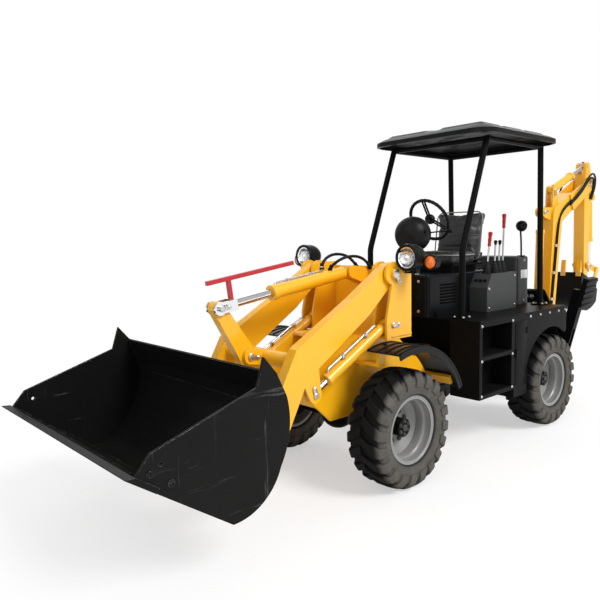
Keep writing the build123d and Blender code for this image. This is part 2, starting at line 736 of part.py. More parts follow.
# Loader
def loader_arms():
    """Two cranked arms, the tube between them, the rocker's ears and the lift cylinders' lugs."""
    arm = outline(
        [
            polar(ARM_PIVOT, ARM_BOSS_RADIUS, 61),
            ARM_SHOULDER,
            ARM_KNEE,
            ARM_SHIN,
            polar(BUCKET_PIN, BUCKET_BOSS_RADIUS, 45),
            polar(BUCKET_PIN, BUCKET_BOSS_RADIUS, 240),
            ARM_HEEL,
            ARM_BELLY,
            ARM_THROAT,
            polar(ARM_PIVOT, ARM_BOSS_RADIUS, 230),
        ]
    )
    arm += disc(ARM_PIVOT, ARM_BOSS_RADIUS) + disc(BUCKET_PIN, BUCKET_BOSS_RADIUS)
    arm -= disc(ARM_PIVOT, ARM_BOSS_RADIUS / 2 + PIN_GAP)
    arm -= disc(BUCKET_PIN, BUCKET_PIN_RADIUS + PIN_GAP)
    half = side_plate(arm, (ARM_Y, ARM_OUTER_Y))
    lug = strap(LIFT_EYE, LIFT_LUG_ROOT, LIFT_LUG_RADIUS, LIFT_LUG_ROOT_RADIUS)
    half += side_plate(lug, (ARM_Y, ARM_Y + LINK_PLATE))
    half += side_plate(lug, (ARM_OUTER_Y - LINK_PLATE, ARM_OUTER_Y))
    half += cross_pin(LIFT_EYE, LINK_PIN_RADIUS, (ARM_OUTER_Y - LINK_PLATE, ARM_OUTER_Y + SIDE_GAP))
    arms = both_sides(half) + cross_pin(CROSS_TUBE, CROSS_TUBE_RADIUS, (-ARM_Y - SIDE_GAP, ARM_Y + SIDE_GAP))
    inside = ROCKER_THICKNESS / 2 + SIDE_GAP
    ear = strap(CROSS_TUBE, ROCKER_PIN, CROSS_TUBE_RADIUS, ROCKER_HUB_RADIUS * 0.75)
    arms += both_sides(side_plate(ear, (inside, inside + TOWER_PLATE)))
    end = inside + TOWER_PLATE + SIDE_GAP
    return arms + cross_pin(ROCKER_PIN, BUCKET_PIN_RADIUS, (-end, end))


def rocker():
    """Lever between the tilt cylinder and the bucket link, swelling at its pivot."""
    plate = strap(ROCKER_TOP, ROCKER_PIN, ROCKER_END_RADIUS, ROCKER_HUB_RADIUS)
    plate += strap(ROCKER_PIN, ROCKER_LOW, ROCKER_HUB_RADIUS, ROCKER_END_RADIUS)
    plate -= disc(ROCKER_PIN, BUCKET_PIN_RADIUS + PIN_GAP)
    plate -= disc(ROCKER_LOW, LINK_PIN_RADIUS + PIN_GAP)
    return side_plate(plate, (-ROCKER_THICKNESS / 2, ROCKER_THICKNESS / 2))


def bucket_link():
    """Twin-plate link from the rocker's lower pin to the bucket's lug."""
    inside = ROCKER_THICKNESS / 2 + SIDE_GAP
    plate = strap(ROCKER_LOW, LINK_PIN, ROCKER_END_RADIUS, LINK_TOE_RADIUS)
    link = both_sides(side_plate(plate, (inside, inside + LINK_PLATE)))
    end = inside + LINK_PLATE + SIDE_GAP
    link += cross_pin(ROCKER_LOW, LINK_PIN_RADIUS, (-end, end))
    middle = ((ROCKER_LOW[0] + LINK_PIN[0]) / 2, (ROCKER_LOW[1] + LINK_PIN[1]) / 2)
    link += cross_pin(middle, LINK_PIN_RADIUS, (-inside - 2, inside + 2))
    return link + both_sides(cross_pin(LINK_PIN, LINK_PIN_RADIUS, (inside, end)))


def bucket_back():
    """Outer line of the bucket, from the lip along the floor and up the back."""
    line = Line((BUCKET_LIP_X - BUCKET_LIP_SET, 0), BUCKET_FLOOR_END)
    line += ThreePointArc(BUCKET_FLOOR_END, BUCKET_HEEL_BEND, BUCKET_BACK)
    return line + ThreePointArc(BUCKET_BACK, BUCKET_BACK_BEND, BUCKET_BACK_TOP)


def bucket_sheet():
    """Side view of the bucket's floor and back as one bent sheet."""
    outer = bucket_back() + Line(BUCKET_BACK_TOP, BUCKET_CREST)
    return make_face(offset(outer, amount=BUCKET_SHEET, side=Side.RIGHT, closed=True).edges())


def bucket_side():
    """Outline of a bucket side plate."""
    lip = (BUCKET_LIP_X - BUCKET_LIP_SET, 0)
    top = (BUCKET_BACK_TOP, BUCKET_CREST, BUCKET_EAR, BUCKET_EDGE_TOP)
    edge = bucket_back() + Polyline(*top, BUCKET_CHEEK, BUCKET_NOSE, lip)
    return make_face(edge) - disc(BUCKET_HOLE, BUCKET_HOLE_RADIUS)


def to_bucket(point):
    """A point of the machine's side view, seen with the bucket's floor level."""
    x = point[0] - BUCKET_HEEL[0]
    z = point[1] - BUCKET_HEEL[1]
    distance = hypot(x, z)
    return polar((0, 0), distance, degrees(atan2(z, x)) - BUCKET_ROLLBACK)


def loader_bucket():
    """Bucket of bent sheet with side plates, a cutting edge, hinge brackets and a tilt lug."""
    inner_y = BUCKET_HALF_WIDTH - BUCKET_SIDE
    bucket = side_plate(bucket_sheet(), (-inner_y, inner_y))
    bucket += both_sides(side_plate(bucket_side(), (inner_y, BUCKET_HALF_WIDTH)))
    edge = outline(
        [
            (BUCKET_LIP_X, BUCKET_BEVEL_EDGE),
            (BUCKET_LIP_X - BUCKET_BEVEL, BUCKET_LIP_PLATE),
            (BUCKET_LIP_X - BUCKET_LIP_DEPTH, BUCKET_LIP_PLATE),
            (BUCKET_LIP_X - BUCKET_LIP_DEPTH, 0),
            (BUCKET_LIP_X, 0),
        ]
    )
    lip_y = BUCKET_HALF_WIDTH + BUCKET_LIP_OVERHANG
    bucket += side_plate(edge, (-lip_y, lip_y))
    pin = to_bucket(BUCKET_PIN)
    lug = to_bucket(LINK_PIN)
    outer_ear = ARM_OUTER_Y + SIDE_GAP
    inner_ear = ARM_Y - SIDE_GAP
    hinge = make_hull(disc(pin, BUCKET_BOSS_RADIUS).edges() + outline(list(BUCKET_HINGE_ROOT)).edges())
    bracket = side_plate(hinge, (outer_ear, outer_ear + BUCKET_EAR_PLATE))
    bracket += side_plate(hinge, (inner_ear - BUCKET_EAR_PLATE, inner_ear))
    bracket += cross_pin(pin, BUCKET_PIN_RADIUS, (inner_ear - BUCKET_EAR_PLATE, outer_ear + BUCKET_EAR_PLATE))
    bucket += both_sides(bracket)
    tongue = make_hull(disc(lug, ROCKER_END_RADIUS).edges() + outline(list(BUCKET_TONGUE_ROOT)).edges())
    skin = BUCKET_SHEET / 2
    floor = ((0, skin), (BUCKET_LIP_X, skin))
    load = make_face(Polyline(*floor, BUCKET_EAR, *BUCKET_INNER, close=True))
    bucket += side_plate(tongue - load, (-ROCKER_THICKNESS / 2, ROCKER_THICKNESS / 2))
    place = Pos(BUCKET_HEEL[0], 0, BUCKET_HEEL[1]) * Rot(0, -BUCKET_ROLLBACK, 0)
    return place * bucket


def lift_cylinder():
    """Left lift cylinder: barrel and rod."""
    return cylinder_pair(
        (LIFT_BASE[0], ARM_MID_Y, LIFT_BASE[1]),
        (LIFT_EYE[0], ARM_MID_Y, LIFT_EYE[1]),
        (0, 1, 0),
        (LIFT_BARREL_RADIUS, LIFT_ROD_RADIUS),
        LIFT_BARREL_LENGTH,
        LIFT_EXTENSION,
        ARM_THICKNESS - 2 * LINK_PLATE - 2 * SIDE_GAP,
        LINK_PIN_RADIUS,
    )


def tilt_cylinder():
    """Tilt cylinder; its rod ends in a fork round the rocker."""
    base = (ARM_PIVOT[0], 0, ARM_PIVOT[1])
    eye = (ROCKER_TOP[0], 0, ROCKER_TOP[1])
    barrel, rod = cylinder_pair(
        base,
        eye,
        (0, 1, 0),
        (TILT_BARREL_RADIUS, TILT_ROD_RADIUS),
        TILT_BARREL_LENGTH,
        TILT_EXTENSION,
        ROCKER_THICKNESS,
        LINK_PIN_RADIUS,
    )
    inside = ROCKER_THICKNESS / 2 + SIDE_GAP
    along = Vector(*eye) - Vector(*base)
    place = Plane(origin=eye, x_dir=along, z_dir=along.cross(Vector(0, 1, 0)))
    web = -ROD_FORK_LENGTH
    fork_z = (-ROD_FORK_HALF, ROD_FORK_HALF)
    cheek = Rot(90, 0, 0) * Cylinder(ROCKER_END_RADIUS, LINK_PLATE)
    cheek += block((web, 0), (-LINK_PLATE / 2, LINK_PLATE / 2), fork_z)
    cheek += Pos(0, LINK_PLATE, 0) * Rot(90, 0, 0) * Cylinder(LINK_PIN_RADIUS, LINK_PLATE)
    cheek = Pos(0, inside + LINK_PLATE / 2, 0) * cheek
    fork = both_sides(cheek)
    fork += block((web - ROD_FORK_BACK, web), (-inside - LINK_PLATE, inside + LINK_PLATE), fork_z)
    shaft_end = place.from_local_coords(Vector(web - ROD_FORK_BACK / 2, 0, 0))
    shaft = rod & bar(base, tuple(shaft_end), 2 * TILT_ROD_RADIUS)
    return barrel, shaft + place * fork


def level_bar():
    """Bar that shows the bucket's level, on a small bracket above the rod's fork."""
    along = Vector(ROCKER_TOP[0] - ARM_PIVOT[0], 0, ROCKER_TOP[1] - ARM_PIVOT[1])
    origin = (ROCKER_TOP[0], 0, ROCKER_TOP[1])
    place = Plane(origin=origin, x_dir=along, z_dir=along.cross(Vector(0, 1, 0)))
    half = LEVEL_BAR_SIZE / 2
    bar_x = (-LEVEL_BAR_LENGTH, ROCKER_END_RADIUS)
    stem_x = (-ROD_FORK_LENGTH - ROD_FORK_BACK, -ROD_FORK_LENGTH)
    stem = block(stem_x, (-half, half), (ROD_FORK_HALF, LEVEL_BAR_RISE))
    length = block(bar_x, (-half, half), (LEVEL_BAR_RISE - half, LEVEL_BAR_RISE + half))
    return place * (stem + length)


# Rear frame and body
def rear_frame():
    """Two rails with the pivot nose in front and the backhoe's stand and swing lugs behind."""
    rail = block((STAND_X, RAIL_FRONT_X), (RAIL_INNER_Y, RAIL_OUTER_Y), (RAIL_BOTTOM, RAIL_TOP))
    saddle_x = (REAR_AXLE_X - SADDLE_REACH, REAR_AXLE_X + SADDLE_REACH)
    saddle = block(saddle_x, (RAIL_INNER_Y, RAIL_OUTER_Y), (AXLE_Z + AXLE_RADIUS / 2, RAIL_BOTTOM))
    saddle -= cross_pin((REAR_AXLE_X, AXLE_Z), AXLE_RADIUS + SEAT_GAP, (0, 2 * RAIL_OUTER_Y))
    frame = both_sides(rail + saddle)
    for x in (RAIL_FRONT_X - 60, ENGINE_X[0] - 60, BODY_REAR_X + 40):
        frame += block((x, x + BULKHEAD), (-BODY_INNER_Y, BODY_INNER_Y), (RAIL_TOP - BULKHEAD, DECK_BOTTOM))
    return frame + pivot_nose() + steering_bracket() + stand() + swing_lugs()


def pivot_nose():
    """Nose of the rear frame between the front frame's lugs, with the articulation pin."""
    low = TAIL_BOTTOM + PIVOT_LUG_THICKNESS + SIDE_GAP
    high = TAIL_TOP - PIVOT_LUG_THICKNESS - SIDE_GAP
    shape = outline(
        [
            (PIVOT_X, PIVOT_LUG_RADIUS - 10),
            (PIVOT_X, 10 - PIVOT_LUG_RADIUS),
            (RAIL_FRONT_X - 40, -RAIL_OUTER_Y),
            (RAIL_FRONT_X - 40, RAIL_OUTER_Y),
        ]
    )
    shape += disc((PIVOT_X, 0), PIVOT_LUG_RADIUS - 10)
    nose = floor_plate(shape, (low, high))
    pin = floor_plate(disc((PIVOT_X, 0), PIVOT_PIN_RADIUS), (TAIL_BOTTOM - SIDE_GAP, TAIL_TOP + SIDE_GAP))
    return nose + pin


def steering_bracket():
    """Ears and a pin for the base of the steering cylinder."""
    reach = STEER_BARREL_RADIUS
    plate = strap((STEER_BASE[0], -RAIL_INNER_Y - 20), STEER_BASE, reach, reach)
    inside = STEER_BARREL_RADIUS / 2 + SIDE_GAP
    ears = floor_plate(plate, (STEER_Z - inside - FRAME_PLATE, STEER_Z - inside))
    ears += floor_plate(plate, (STEER_Z + inside, STEER_Z + inside + FRAME_PLATE))
    pin_z = (STEER_Z - inside - FRAME_PLATE, STEER_Z + inside + FRAME_PLATE)
    return ears + floor_plate(disc(STEER_BASE, LINK_PIN_RADIUS), pin_z)


def stand_walls():
    """The x ranges of the stand's front and rear plates."""
    front = STAND_X + STAND_GAP / 2
    rear = STAND_X - STAND_GAP / 2
    return (front, front + STAND_PLATE), (rear - STAND_PLATE, rear)


def stand():
    """Two plates across the machine that hold the stabilisers between them."""
    plate = outline(
        [
            (-STAND_HALF_WIDTH, STAND_BOTTOM),
            (STAND_HALF_WIDTH, STAND_BOTTOM),
            (STAND_HALF_WIDTH, STAND_SHOULDER - 90),
            (STAB_BASE[0] + 60, STAND_TOP),
            (-STAB_BASE[0] - 60, STAND_TOP),
            (-STAND_HALF_WIDTH, STAND_SHOULDER - 90),
        ],
        24,
    )
    front, rear = stand_walls()
    frame = rear_plate(plate, front) + rear_plate(plate, rear)
    frame += block((rear[0], front[1]), (-STAND_CORE, STAND_CORE), (STAND_BOTTOM, STAND_TOP - 60))
    for side in (-1, 1):
        span = (rear[0] - SIDE_GAP, front[1] + SIDE_GAP)
        frame += rear_plate(disc((side * LEG_PIVOT[0], LEG_PIVOT[1]), LEG_PIN_RADIUS), span)
        frame += rear_plate(disc((side * STAB_BASE[0], STAB_BASE[1]), LINK_PIN_RADIUS), span)
    return frame


def swing_lugs():
    """Upper and lower lug behind the stand, bored for the swing post's pins."""
    rear = stand_walls()[1][0]
    root = rear + STAND_PLATE / 4
    waist = rear - SWING_LUG_TAPER
    lug = outline(
        [
            (root, -SWING_LUG_ROOT),
            (root, SWING_LUG_ROOT),
            (waist, SWING_LUG_RADIUS),
            (SWING_X, SWING_LUG_RADIUS),
            (SWING_X, -SWING_LUG_RADIUS),
            (waist, -SWING_LUG_RADIUS),
        ]
    )
    lug += disc((SWING_X, 0), SWING_LUG_RADIUS)
    lug -= disc((SWING_X, 0), SWING_PIN_RADIUS + PIN_GAP)
    lower = floor_plate(lug, (SWING_LOW, SWING_LOW + SWING_LUG_THICKNESS))
    return lower + floor_plate(lug, (SWING_HIGH, SWING_HIGH + SWING_LUG_THICKNESS))


def side_box():
    """Left tank with two step recesses, the toolbox panel and the skirt over the rear wheel."""
    y = (BODY_INNER_Y, BODY_HALF_WIDTH)
    tank = block((PANEL_FRONT_X, BODY_FRONT_X), y, (BODY_BOTTOM, DECK_BOTTOM))
    tank += block((BOX_REAR_X, PANEL_FRONT_X), y, (PANEL_BOTTOM, DECK_BOTTOM))
    recess_x = (PANEL_FRONT_X + STEP_MARGIN, BODY_FRONT_X - STEP_MARGIN)
    recess_y = (BODY_HALF_WIDTH - STEP_DEPTH, BODY_HALF_WIDTH + SIDE_GAP)
    middle = (BODY_BOTTOM + DECK_BOTTOM) / 2
    tank -= block(recess_x, recess_y, (BODY_BOTTOM + STEP_TREAD, middle))
    tank -= block(recess_x, recess_y, (middle + STEP_TREAD, DECK_BOTTOM - STEP_MARGIN))
    skirt = outline(
        [
            (BOX_REAR_X + 5, PANEL_BOTTOM + 200),
            (BOX_REAR_X + 5, DECK_BOTTOM),
            (BODY_REAR_X, DECK_BOTTOM),
            (BODY_REAR_X, AXLE_Z + ARCH_RADIUS - 60),
        ]
    )
    skirt -= disc((REAR_AXLE_X, AXLE_Z), ARCH_RADIUS)
    return tank + side_plate(skirt, (BODY_HALF_WIDTH - SKIRT_SHEET, BODY_HALF_WIDTH))


def deck():
    """Floor plate of the operator's station, open in the middle under the hood."""
    plate = block((BODY_REAR_X, BODY_FRONT_X), (-BODY_HALF_WIDTH, BODY_HALF_WIDTH), (DECK_BOTTOM, DECK_TOP))
    inner = HOOD_HALF_WIDTH - HOOD_SHEET
    well_x = (ENGINE_X[0] - ENGINE_GAP, ENGINE_X[1] + ENGINE_GAP)
    return plate - block(well_x, (-inner, inner), (DECK_BOTTOM - DECK_SHEET, DECK_TOP + DECK_SHEET))


def shell_box(x, half_width, z, sheet, corner):
    """Sheet-metal cover, open underneath, with rounded upright edges and top."""
    cover = block(x, (-half_width, half_width), z)
    cover = fillet(cover.edges().filter_by(Axis.Z), corner)
    cover = fillet(cover.faces().sort_by(Axis.Z)[-1].edges(), corner / 2)
    inner = half_width - sheet
    return cover - block((x[0] + sheet, x[1] - sheet), (-inner, inner), (z[0] - sheet, z[1] - sheet))


def hood():
    """Engine cover under the seat."""
    length = (HOOD_REAR_X, HOOD_FRONT_X)
    return shell_box(length, HOOD_HALF_WIDTH, (DECK_TOP, HOOD_TOP), HOOD_SHEET, HOOD_CORNER)


def lever_console():
    """Lever console beside the hood, with a slanted front."""
    side = outline(
        [
            (CONSOLE_REAR_X, DECK_TOP),
            (CONSOLE_FRONT_X, DECK_TOP),
            (CONSOLE_FRONT_X, CONSOLE_TOP - 110),
            (CONSOLE_FRONT_X - 70, CONSOLE_TOP),
            (CONSOLE_REAR_X, CONSOLE_TOP),
        ]
    )
    return side_plate(side, (HOOD_HALF_WIDTH + SEAT_GAP, CONSOLE_OUTER_Y))


def rear_box():
    """Tank box across the rear of the deck."""
    length = (REAR_BOX_REAR_X, REAR_BOX_FRONT_X)
    return shell_box(length, REAR_BOX_HALF_WIDTH, (DECK_TOP, REAR_BOX_TOP), HOOD_SHEET, HOOD_CORNER)


def engine_block():
    """Engine as one plain block on the rails."""
    return block(ENGINE_X, (-ENGINE_HALF_WIDTH, ENGINE_HALF_WIDTH), (RAIL_TOP, ENGINE_TOP))


def seat_frame():
    """Seat suspension box and the plate behind the backrest."""
    base_top = HOOD_TOP + SEAT_BASE_HEIGHT
    rear = SEAT_X[0]
    pan = base_top - SEAT_PAN
    pan_y = SEAT_HALF_WIDTH - SEAT_PAN_INSET
    top = SEAT_BACK_TOP - SEAT_PLATE_DROP
    box_x = (rear + SEAT_BOX_INSET[0], SEAT_X[1] - SEAT_BOX_INSET[1])
    base = block(box_x, (-SEAT_BOX_HALF_WIDTH, SEAT_BOX_HALF_WIDTH), (HOOD_TOP, pan))
    base += block((rear, SEAT_X[1] - SEAT_PAN_INSET), (-pan_y, pan_y), (pan, base_top))
    lean = rear - SEAT_BACK_LEAN
    back = outline([(rear, pan), (rear + SEAT_PAN, pan), (lean + SEAT_PAN, top), (lean, top)])
    return base + side_plate(back, (-SEAT_BOX_HALF_WIDTH, SEAT_BOX_HALF_WIDTH))


def seat_cushion():
    """Seat cushion."""
    bottom = HOOD_TOP + SEAT_BASE_HEIGHT + SEAT_GAP
    front = SEAT_X[0] + SEAT_PAN + SEAT_BACK_THICKNESS
    pad = block((front, SEAT_X[1]), (-SEAT_HALF_WIDTH, SEAT_HALF_WIDTH), (bottom, bottom + CUSHION_THICKNESS))
    return fillet(pad.edges(), SEAT_ROUND)


def seat_back():
    """Backrest, leaning to the rear."""
    bottom = HOOD_TOP + SEAT_BASE_HEIGHT + SEAT_GAP
    rear = SEAT_X[0] + SEAT_PAN + SEAT_GAP
    shape = outline(
        [
            (rear, bottom),
            (rear + SEAT_BACK_THICKNESS - 5, bottom),
            (rear + SEAT_BACK_THICKNESS - 5 - SEAT_BACK_LEAN, SEAT_BACK_TOP),
            (rear - SEAT_BACK_LEAN * 1.15, SEAT_BACK_TOP),
        ]
    )
    pad = side_plate(shape, (-SEAT_HALF_WIDTH, SEAT_HALF_WIDTH))
    return fillet(pad.edges(), SEAT_ROUND)


def steering_column():
    """Column from the hood to the round dash pod, and the shaft of the steering wheel."""
    dash = (DASH_CENTRE[0], 0, DASH_CENTRE[1])
    column = bar((DASH_CENTRE[0] + 40, 0, HOOD_TOP - COLUMN_RADIUS), dash, COLUMN_RADIUS)
    axis = Vector(WHEEL_CENTRE[0], 0, WHEEL_CENTRE[1]) - Vector(*dash)
    pod = Plane(origin=dash, z_dir=axis) * (Sphere(DASH_RADIUS) & Cylinder(2 * DASH_RADIUS, DASH_DEPTH))
    column -= block((HOOD_REAR_X, HOOD_FRONT_X), (-DASH_RADIUS, DASH_RADIUS), (DECK_TOP, HOOD_TOP))
    return column + pod + bar(dash, (WHEEL_CENTRE[0], 0, WHEEL_CENTRE[1]), COLUMN_RADIUS / 2)


def steering_wheel():
    """Steering wheel: rim, three spokes and a hub on the shaft's end."""
    centre = (WHEEL_CENTRE[0], 0, WHEEL_CENTRE[1])
    axis = Vector(*centre) - Vector(DASH_CENTRE[0], 0, DASH_CENTRE[1])
    ring_radius = STEERING_WHEEL_RADIUS - STEERING_RIM_RADIUS
    wheel = revolve(Plane.XZ * Pos(ring_radius, 0) * Circle(STEERING_RIM_RADIUS), Axis.Z)
    upright = (Align.CENTER, Align.CENTER, Align.MIN)
    wheel += Cylinder(COLUMN_RADIUS, STEERING_HUB_HEIGHT, align=upright)
    half = STEERING_SPOKE / 2
    for angle in (90, 210, 330):
        spoke = block((0, ring_radius), (-half, half), (0, STEERING_RIM_RADIUS / 2))
        wheel += Rot(0, 0, angle) * spoke
    return Plane(origin=centre, z_dir=axis) * wheel


def lever(foot_x, top_x, top_z, grip):
    """One control lever with its rubber boot."""
    foot = (foot_x, LEVER_Y, CONSOLE_TOP)
    top = (top_x, LEVER_Y, top_z)
    standing = (Align.CENTER, Align.CENTER, Align.MIN)
    boot = Pos(*foot) * Cone(BOOT_RADIUS, BOOT_NECK, BOOT_HEIGHT, align=standing)
    way = (Vector(*top) - Vector(*foot)).normalized()
    stem = bar(tuple(Vector(*foot) + way * BOOT_HEIGHT / 2), top, LEVER_RADIUS)
    return boot + stem + bar(tuple(Vector(*top) - way * grip), top, GRIP_RADIUS)


def levers():
    """The row of control levers on the console."""
    made = [lever(*place, GRIP_LENGTH) for place in TALL_LEVERS]
    made += [lever(*place, GRIP_LENGTH / 3) for place in SHORT_LEVERS]
    return Compound([solid for item in made for solid in item.solids()])


# Canopy
def canopy_posts():
    """Four tube posts with foot plates, joined by the rails under the roof."""
    foot = DECK_TOP + POST_FOOT_PLATE
    front_path = FilletPolyline(
        (FRONT_POST_FOOT_X, POST_Y, foot),
        (FRONT_POST_FOOT_X, POST_Y, FRONT_POST_BEND_Z),
        (FRONT_POST_TOP_X, POST_Y, POST_TOP),
        radius=FRONT_POST_BEND,
    )
    front = sweep(Plane(origin=(FRONT_POST_FOOT_X, POST_Y, foot)) * Circle(POST_RADIUS), path=front_path)
    rear = bar((REAR_POST_FOOT_X, POST_Y, foot), (REAR_POST_TOP_X, POST_Y, POST_TOP), POST_RADIUS)
    half = front + rear
    for x in (FRONT_POST_FOOT_X, REAR_POST_FOOT_X):
        size = POST_FOOT_SIZE / 2
        half += block((x - size, x + size), (POST_Y - size, POST_Y + size), (DECK_TOP, foot))
    rail_z = POST_TOP - POST_RADIUS
    half += bar((REAR_POST_TOP_X, POST_Y, rail_z), (FRONT_POST_TOP_X, POST_Y, rail_z), POST_RADIUS * 0.8)
    frame = both_sides(half)
    for x in (REAR_POST_TOP_X, FRONT_POST_TOP_X):
        frame += bar((x, -POST_Y, rail_z), (x, POST_Y, rail_z), POST_RADIUS * 0.8)
    return frame - block(ROOF_X, (-ROOF_HALF_WIDTH, ROOF_HALF_WIDTH), (ROOF_BOTTOM, ROOF_BOTTOM + ROOF_RISE))


def roof_section(inset, z):
    """Rounded rectangle of the roof at one height."""
    length = ROOF_X[1] - ROOF_X[0] - 2 * inset
    width = 2 * (ROOF_HALF_WIDTH - inset)
    middle = (ROOF_X[0] + ROOF_X[1]) / 2
    return Pos(middle, 0, z) * RectangleRounded(length, width, ROOF_CORNER)


def canopy_roof():
    """Moulded roof: a shallow dome with a turned-down edge, hollow underneath."""
    bottom = ROOF_BOTTOM
    edge = bottom + ROOF_EDGE
    brow = edge + ROOF_BROW_RISE
    top = bottom + ROOF_RISE
    outer = extrude(roof_section(0, bottom), amount=ROOF_EDGE)
    outer += loft([roof_section(0, edge), roof_section(ROOF_BROW, brow), roof_section(ROOF_CROWN, top)])
    sheet = ROOF_SHEET
    inner = extrude(roof_section(sheet, bottom), amount=ROOF_EDGE - sheet)
    inner += loft(
        [
            roof_section(sheet, edge - sheet),
            roof_section(ROOF_BROW + sheet, brow - sheet),
            roof_section(ROOF_CROWN, top - sheet),
        ]
    )
    liner = extrude(roof_section(sheet / 2, bottom), amount=sheet)
    return outer - inner + liner


# Backhoe
def swing_post():
    """Casting that turns between the swing lugs and carries the boom and its cylinder."""
    low = SWING_LOW + SWING_LUG_THICKNESS + SIDE_GAP
    high = SWING_HIGH - SIDE_GAP
    post = floor_plate(disc((SWING_X, 0), SWING_LUG_RADIUS), (low, high))
    pin_z = (SWING_LOW - SIDE_GAP, SWING_HIGH + SWING_LUG_THICKNESS + 2 * SIDE_GAP)
    post += floor_plate(disc((SWING_X, 0), SWING_PIN_RADIUS), pin_z)
    inside = BOOM_HALF_WIDTH + SIDE_GAP
    ear = outline(
        [
            (SWING_X + TOWER_PLATE, low + ARM_GAP_Y),
            (SWING_X + TOWER_PLATE, high - ARM_GAP_Y),
            (BOOM_FOOT[0], BOOM_FOOT[1] + BOOM_FOOT_RADIUS),
            (BOOM_FOOT[0], BOOM_FOOT[1] - BOOM_FOOT_RADIUS),
        ]
    )
    ear += disc(BOOM_FOOT, BOOM_FOOT_RADIUS)
    outside = inside + TOWER_PLATE
    post += both_sides(side_plate(ear, (inside, outside)))
    bridge_x = (SWING_X - SWING_LUG_RADIUS / 2, SWING_X + TOWER_PLATE)
    post += block(bridge_x, (-outside, outside), (low + ARM_GAP_Y, high - ARM_GAP_Y))
    post += cross_pin(BOOM_FOOT, DIG_PIN_RADIUS, (-outside - SIDE_GAP, outside + SIDE_GAP))
    top = SWING_HIGH + SWING_LUG_THICKNESS + SIDE_GAP
    head = floor_plate(disc((SWING_X, 0), SWING_HEAD_RADIUS), (top, top + SWING_HEAD))
    cheek_in = DIG_BARREL_RADIUS / 2 + SIDE_GAP
    cheek = strap(BOOM_CYL_BASE, (BOOM_CYL_BASE[0], top + SWING_CHEEK_ROOT), DIG_BARREL_RADIUS, DIG_BARREL_RADIUS)
    room = 2 * BOOM_CYL_BASE[1]
    fore, aft = SWING_X + room, SWING_X - room
    cheek &= outline([(aft, top), (fore, top), (fore, room), (aft, room)])
    head += both_sides(side_plate(cheek, (cheek_in, cheek_in + LINK_PLATE)))
    head += cross_pin(BOOM_CYL_BASE, LINK_PIN_RADIUS, (-cheek_in - LINK_PLATE, cheek_in + LINK_PLATE))
    return post + head


def boom_outline():
    """Side view of the boom's gooseneck."""
    lower = strap(BOOM_FOOT, BOOM_BEND, BOOM_FOOT_RADIUS, BOOM_BEND_RADIUS)
    upper = strap(BOOM_BEND, BOOM_TIP, BOOM_BEND_RADIUS, BOOM_TIP_RADIUS)
    return lower + upper


def boom():
    """Gooseneck boom: box section, a fork at the tip and brackets for two cylinders."""
    shape = boom_outline()
    body = side_plate(shape, (-BOOM_HALF_WIDTH, BOOM_HALF_WIDTH))
    body -= cross_pin(BOOM_FOOT, DIG_PIN_RADIUS + PIN_GAP, (-2 * BOOM_HALF_WIDTH, 2 * BOOM_HALF_WIDTH))
    gap = DIPPER_HALF_WIDTH + SIDE_GAP
    body -= cross_pin(BOOM_TIP, FORK_LENGTH, (-2 * gap, 2 * gap))
    fork = side_plate(shape & disc(BOOM_TIP, FORK_LENGTH + FORK_LAP), (gap, gap + FORK_PLATE))
    body += both_sides(fork)
    body += cross_pin(BOOM_TIP, DIG_PIN_RADIUS, (-gap - FORK_PLATE - SIDE_GAP, gap + FORK_PLATE + SIDE_GAP))
    inside = DIG_BARREL_RADIUS / 2 + SIDE_GAP
    pin_span = inside + LINK_PLATE
    for eye in (BOOM_CYL_EYE, DIPPER_CYL_BASE):
        ear = strap(eye, BOOM_BEND, DIG_BARREL_RADIUS + SIDE_GAP, BOOM_EAR_ROOT)
        cheek = side_plate(ear, (inside, pin_span))
        body += both_sides(cheek)
        body += both_sides(cross_pin(eye, LINK_PIN_RADIUS, (pin_span, pin_span + SIDE_GAP)))
    slot = disc(BOOM_CYL_EYE, DIG_BARREL_RADIUS + BOOM_SLOT)
    slot += disc(DIPPER_CYL_BASE, DIG_BARREL_RADIUS + SIDE_GAP)
    body -= side_plate(slot, (-inside, inside))
    return body + cross_pin(DIPPER_CYL_BASE, LINK_PIN_RADIUS, (-pin_span, pin_span))


def dipper():
    """Dipper: a tapered box with the cylinder lever above its pivot."""
    shape = strap(DIPPER_TOP, BOOM_TIP, DIPPER_TOP_RADIUS, DIPPER_ROOT_RADIUS)
    shape += strap(BOOM_TIP, DIPPER_END, DIPPER_ROOT_RADIUS, DIPPER_END_RADIUS)
    shape += strap(DIG_BASE, (BOOM_TIP[0], DIG_BASE[1]), DIG_BARREL_RADIUS, DIG_BARREL_RADIUS)
    shape -= disc(BOOM_TIP, DIG_PIN_RADIUS + PIN_GAP)
    shape -= disc(GUIDE_PIN, LINK_PIN_RADIUS + PIN_GAP)
    shape -= disc(DIPPER_END, DIG_PIN_RADIUS + PIN_GAP)
    body = side_plate(shape, (-DIPPER_HALF_WIDTH, DIPPER_HALF_WIDTH))
    inside = DIG_BARREL_RADIUS / 2 + SIDE_GAP
    body -= cross_pin(DIPPER_TOP, DIPPER_TOP_RADIUS + DIPPER_SLOT, (-inside, inside))
    body -= cross_pin(DIG_BASE, DIG_BARREL_RADIUS + DIG_SLOT, (-inside, inside))
    half = DIPPER_HALF_WIDTH
    body += both_sides(cross_pin(DIPPER_TOP, LINK_PIN_RADIUS, (half, half + SIDE_GAP)))
    return body + cross_pin(DIG_BASE, LINK_PIN_RADIUS, (-half, half))


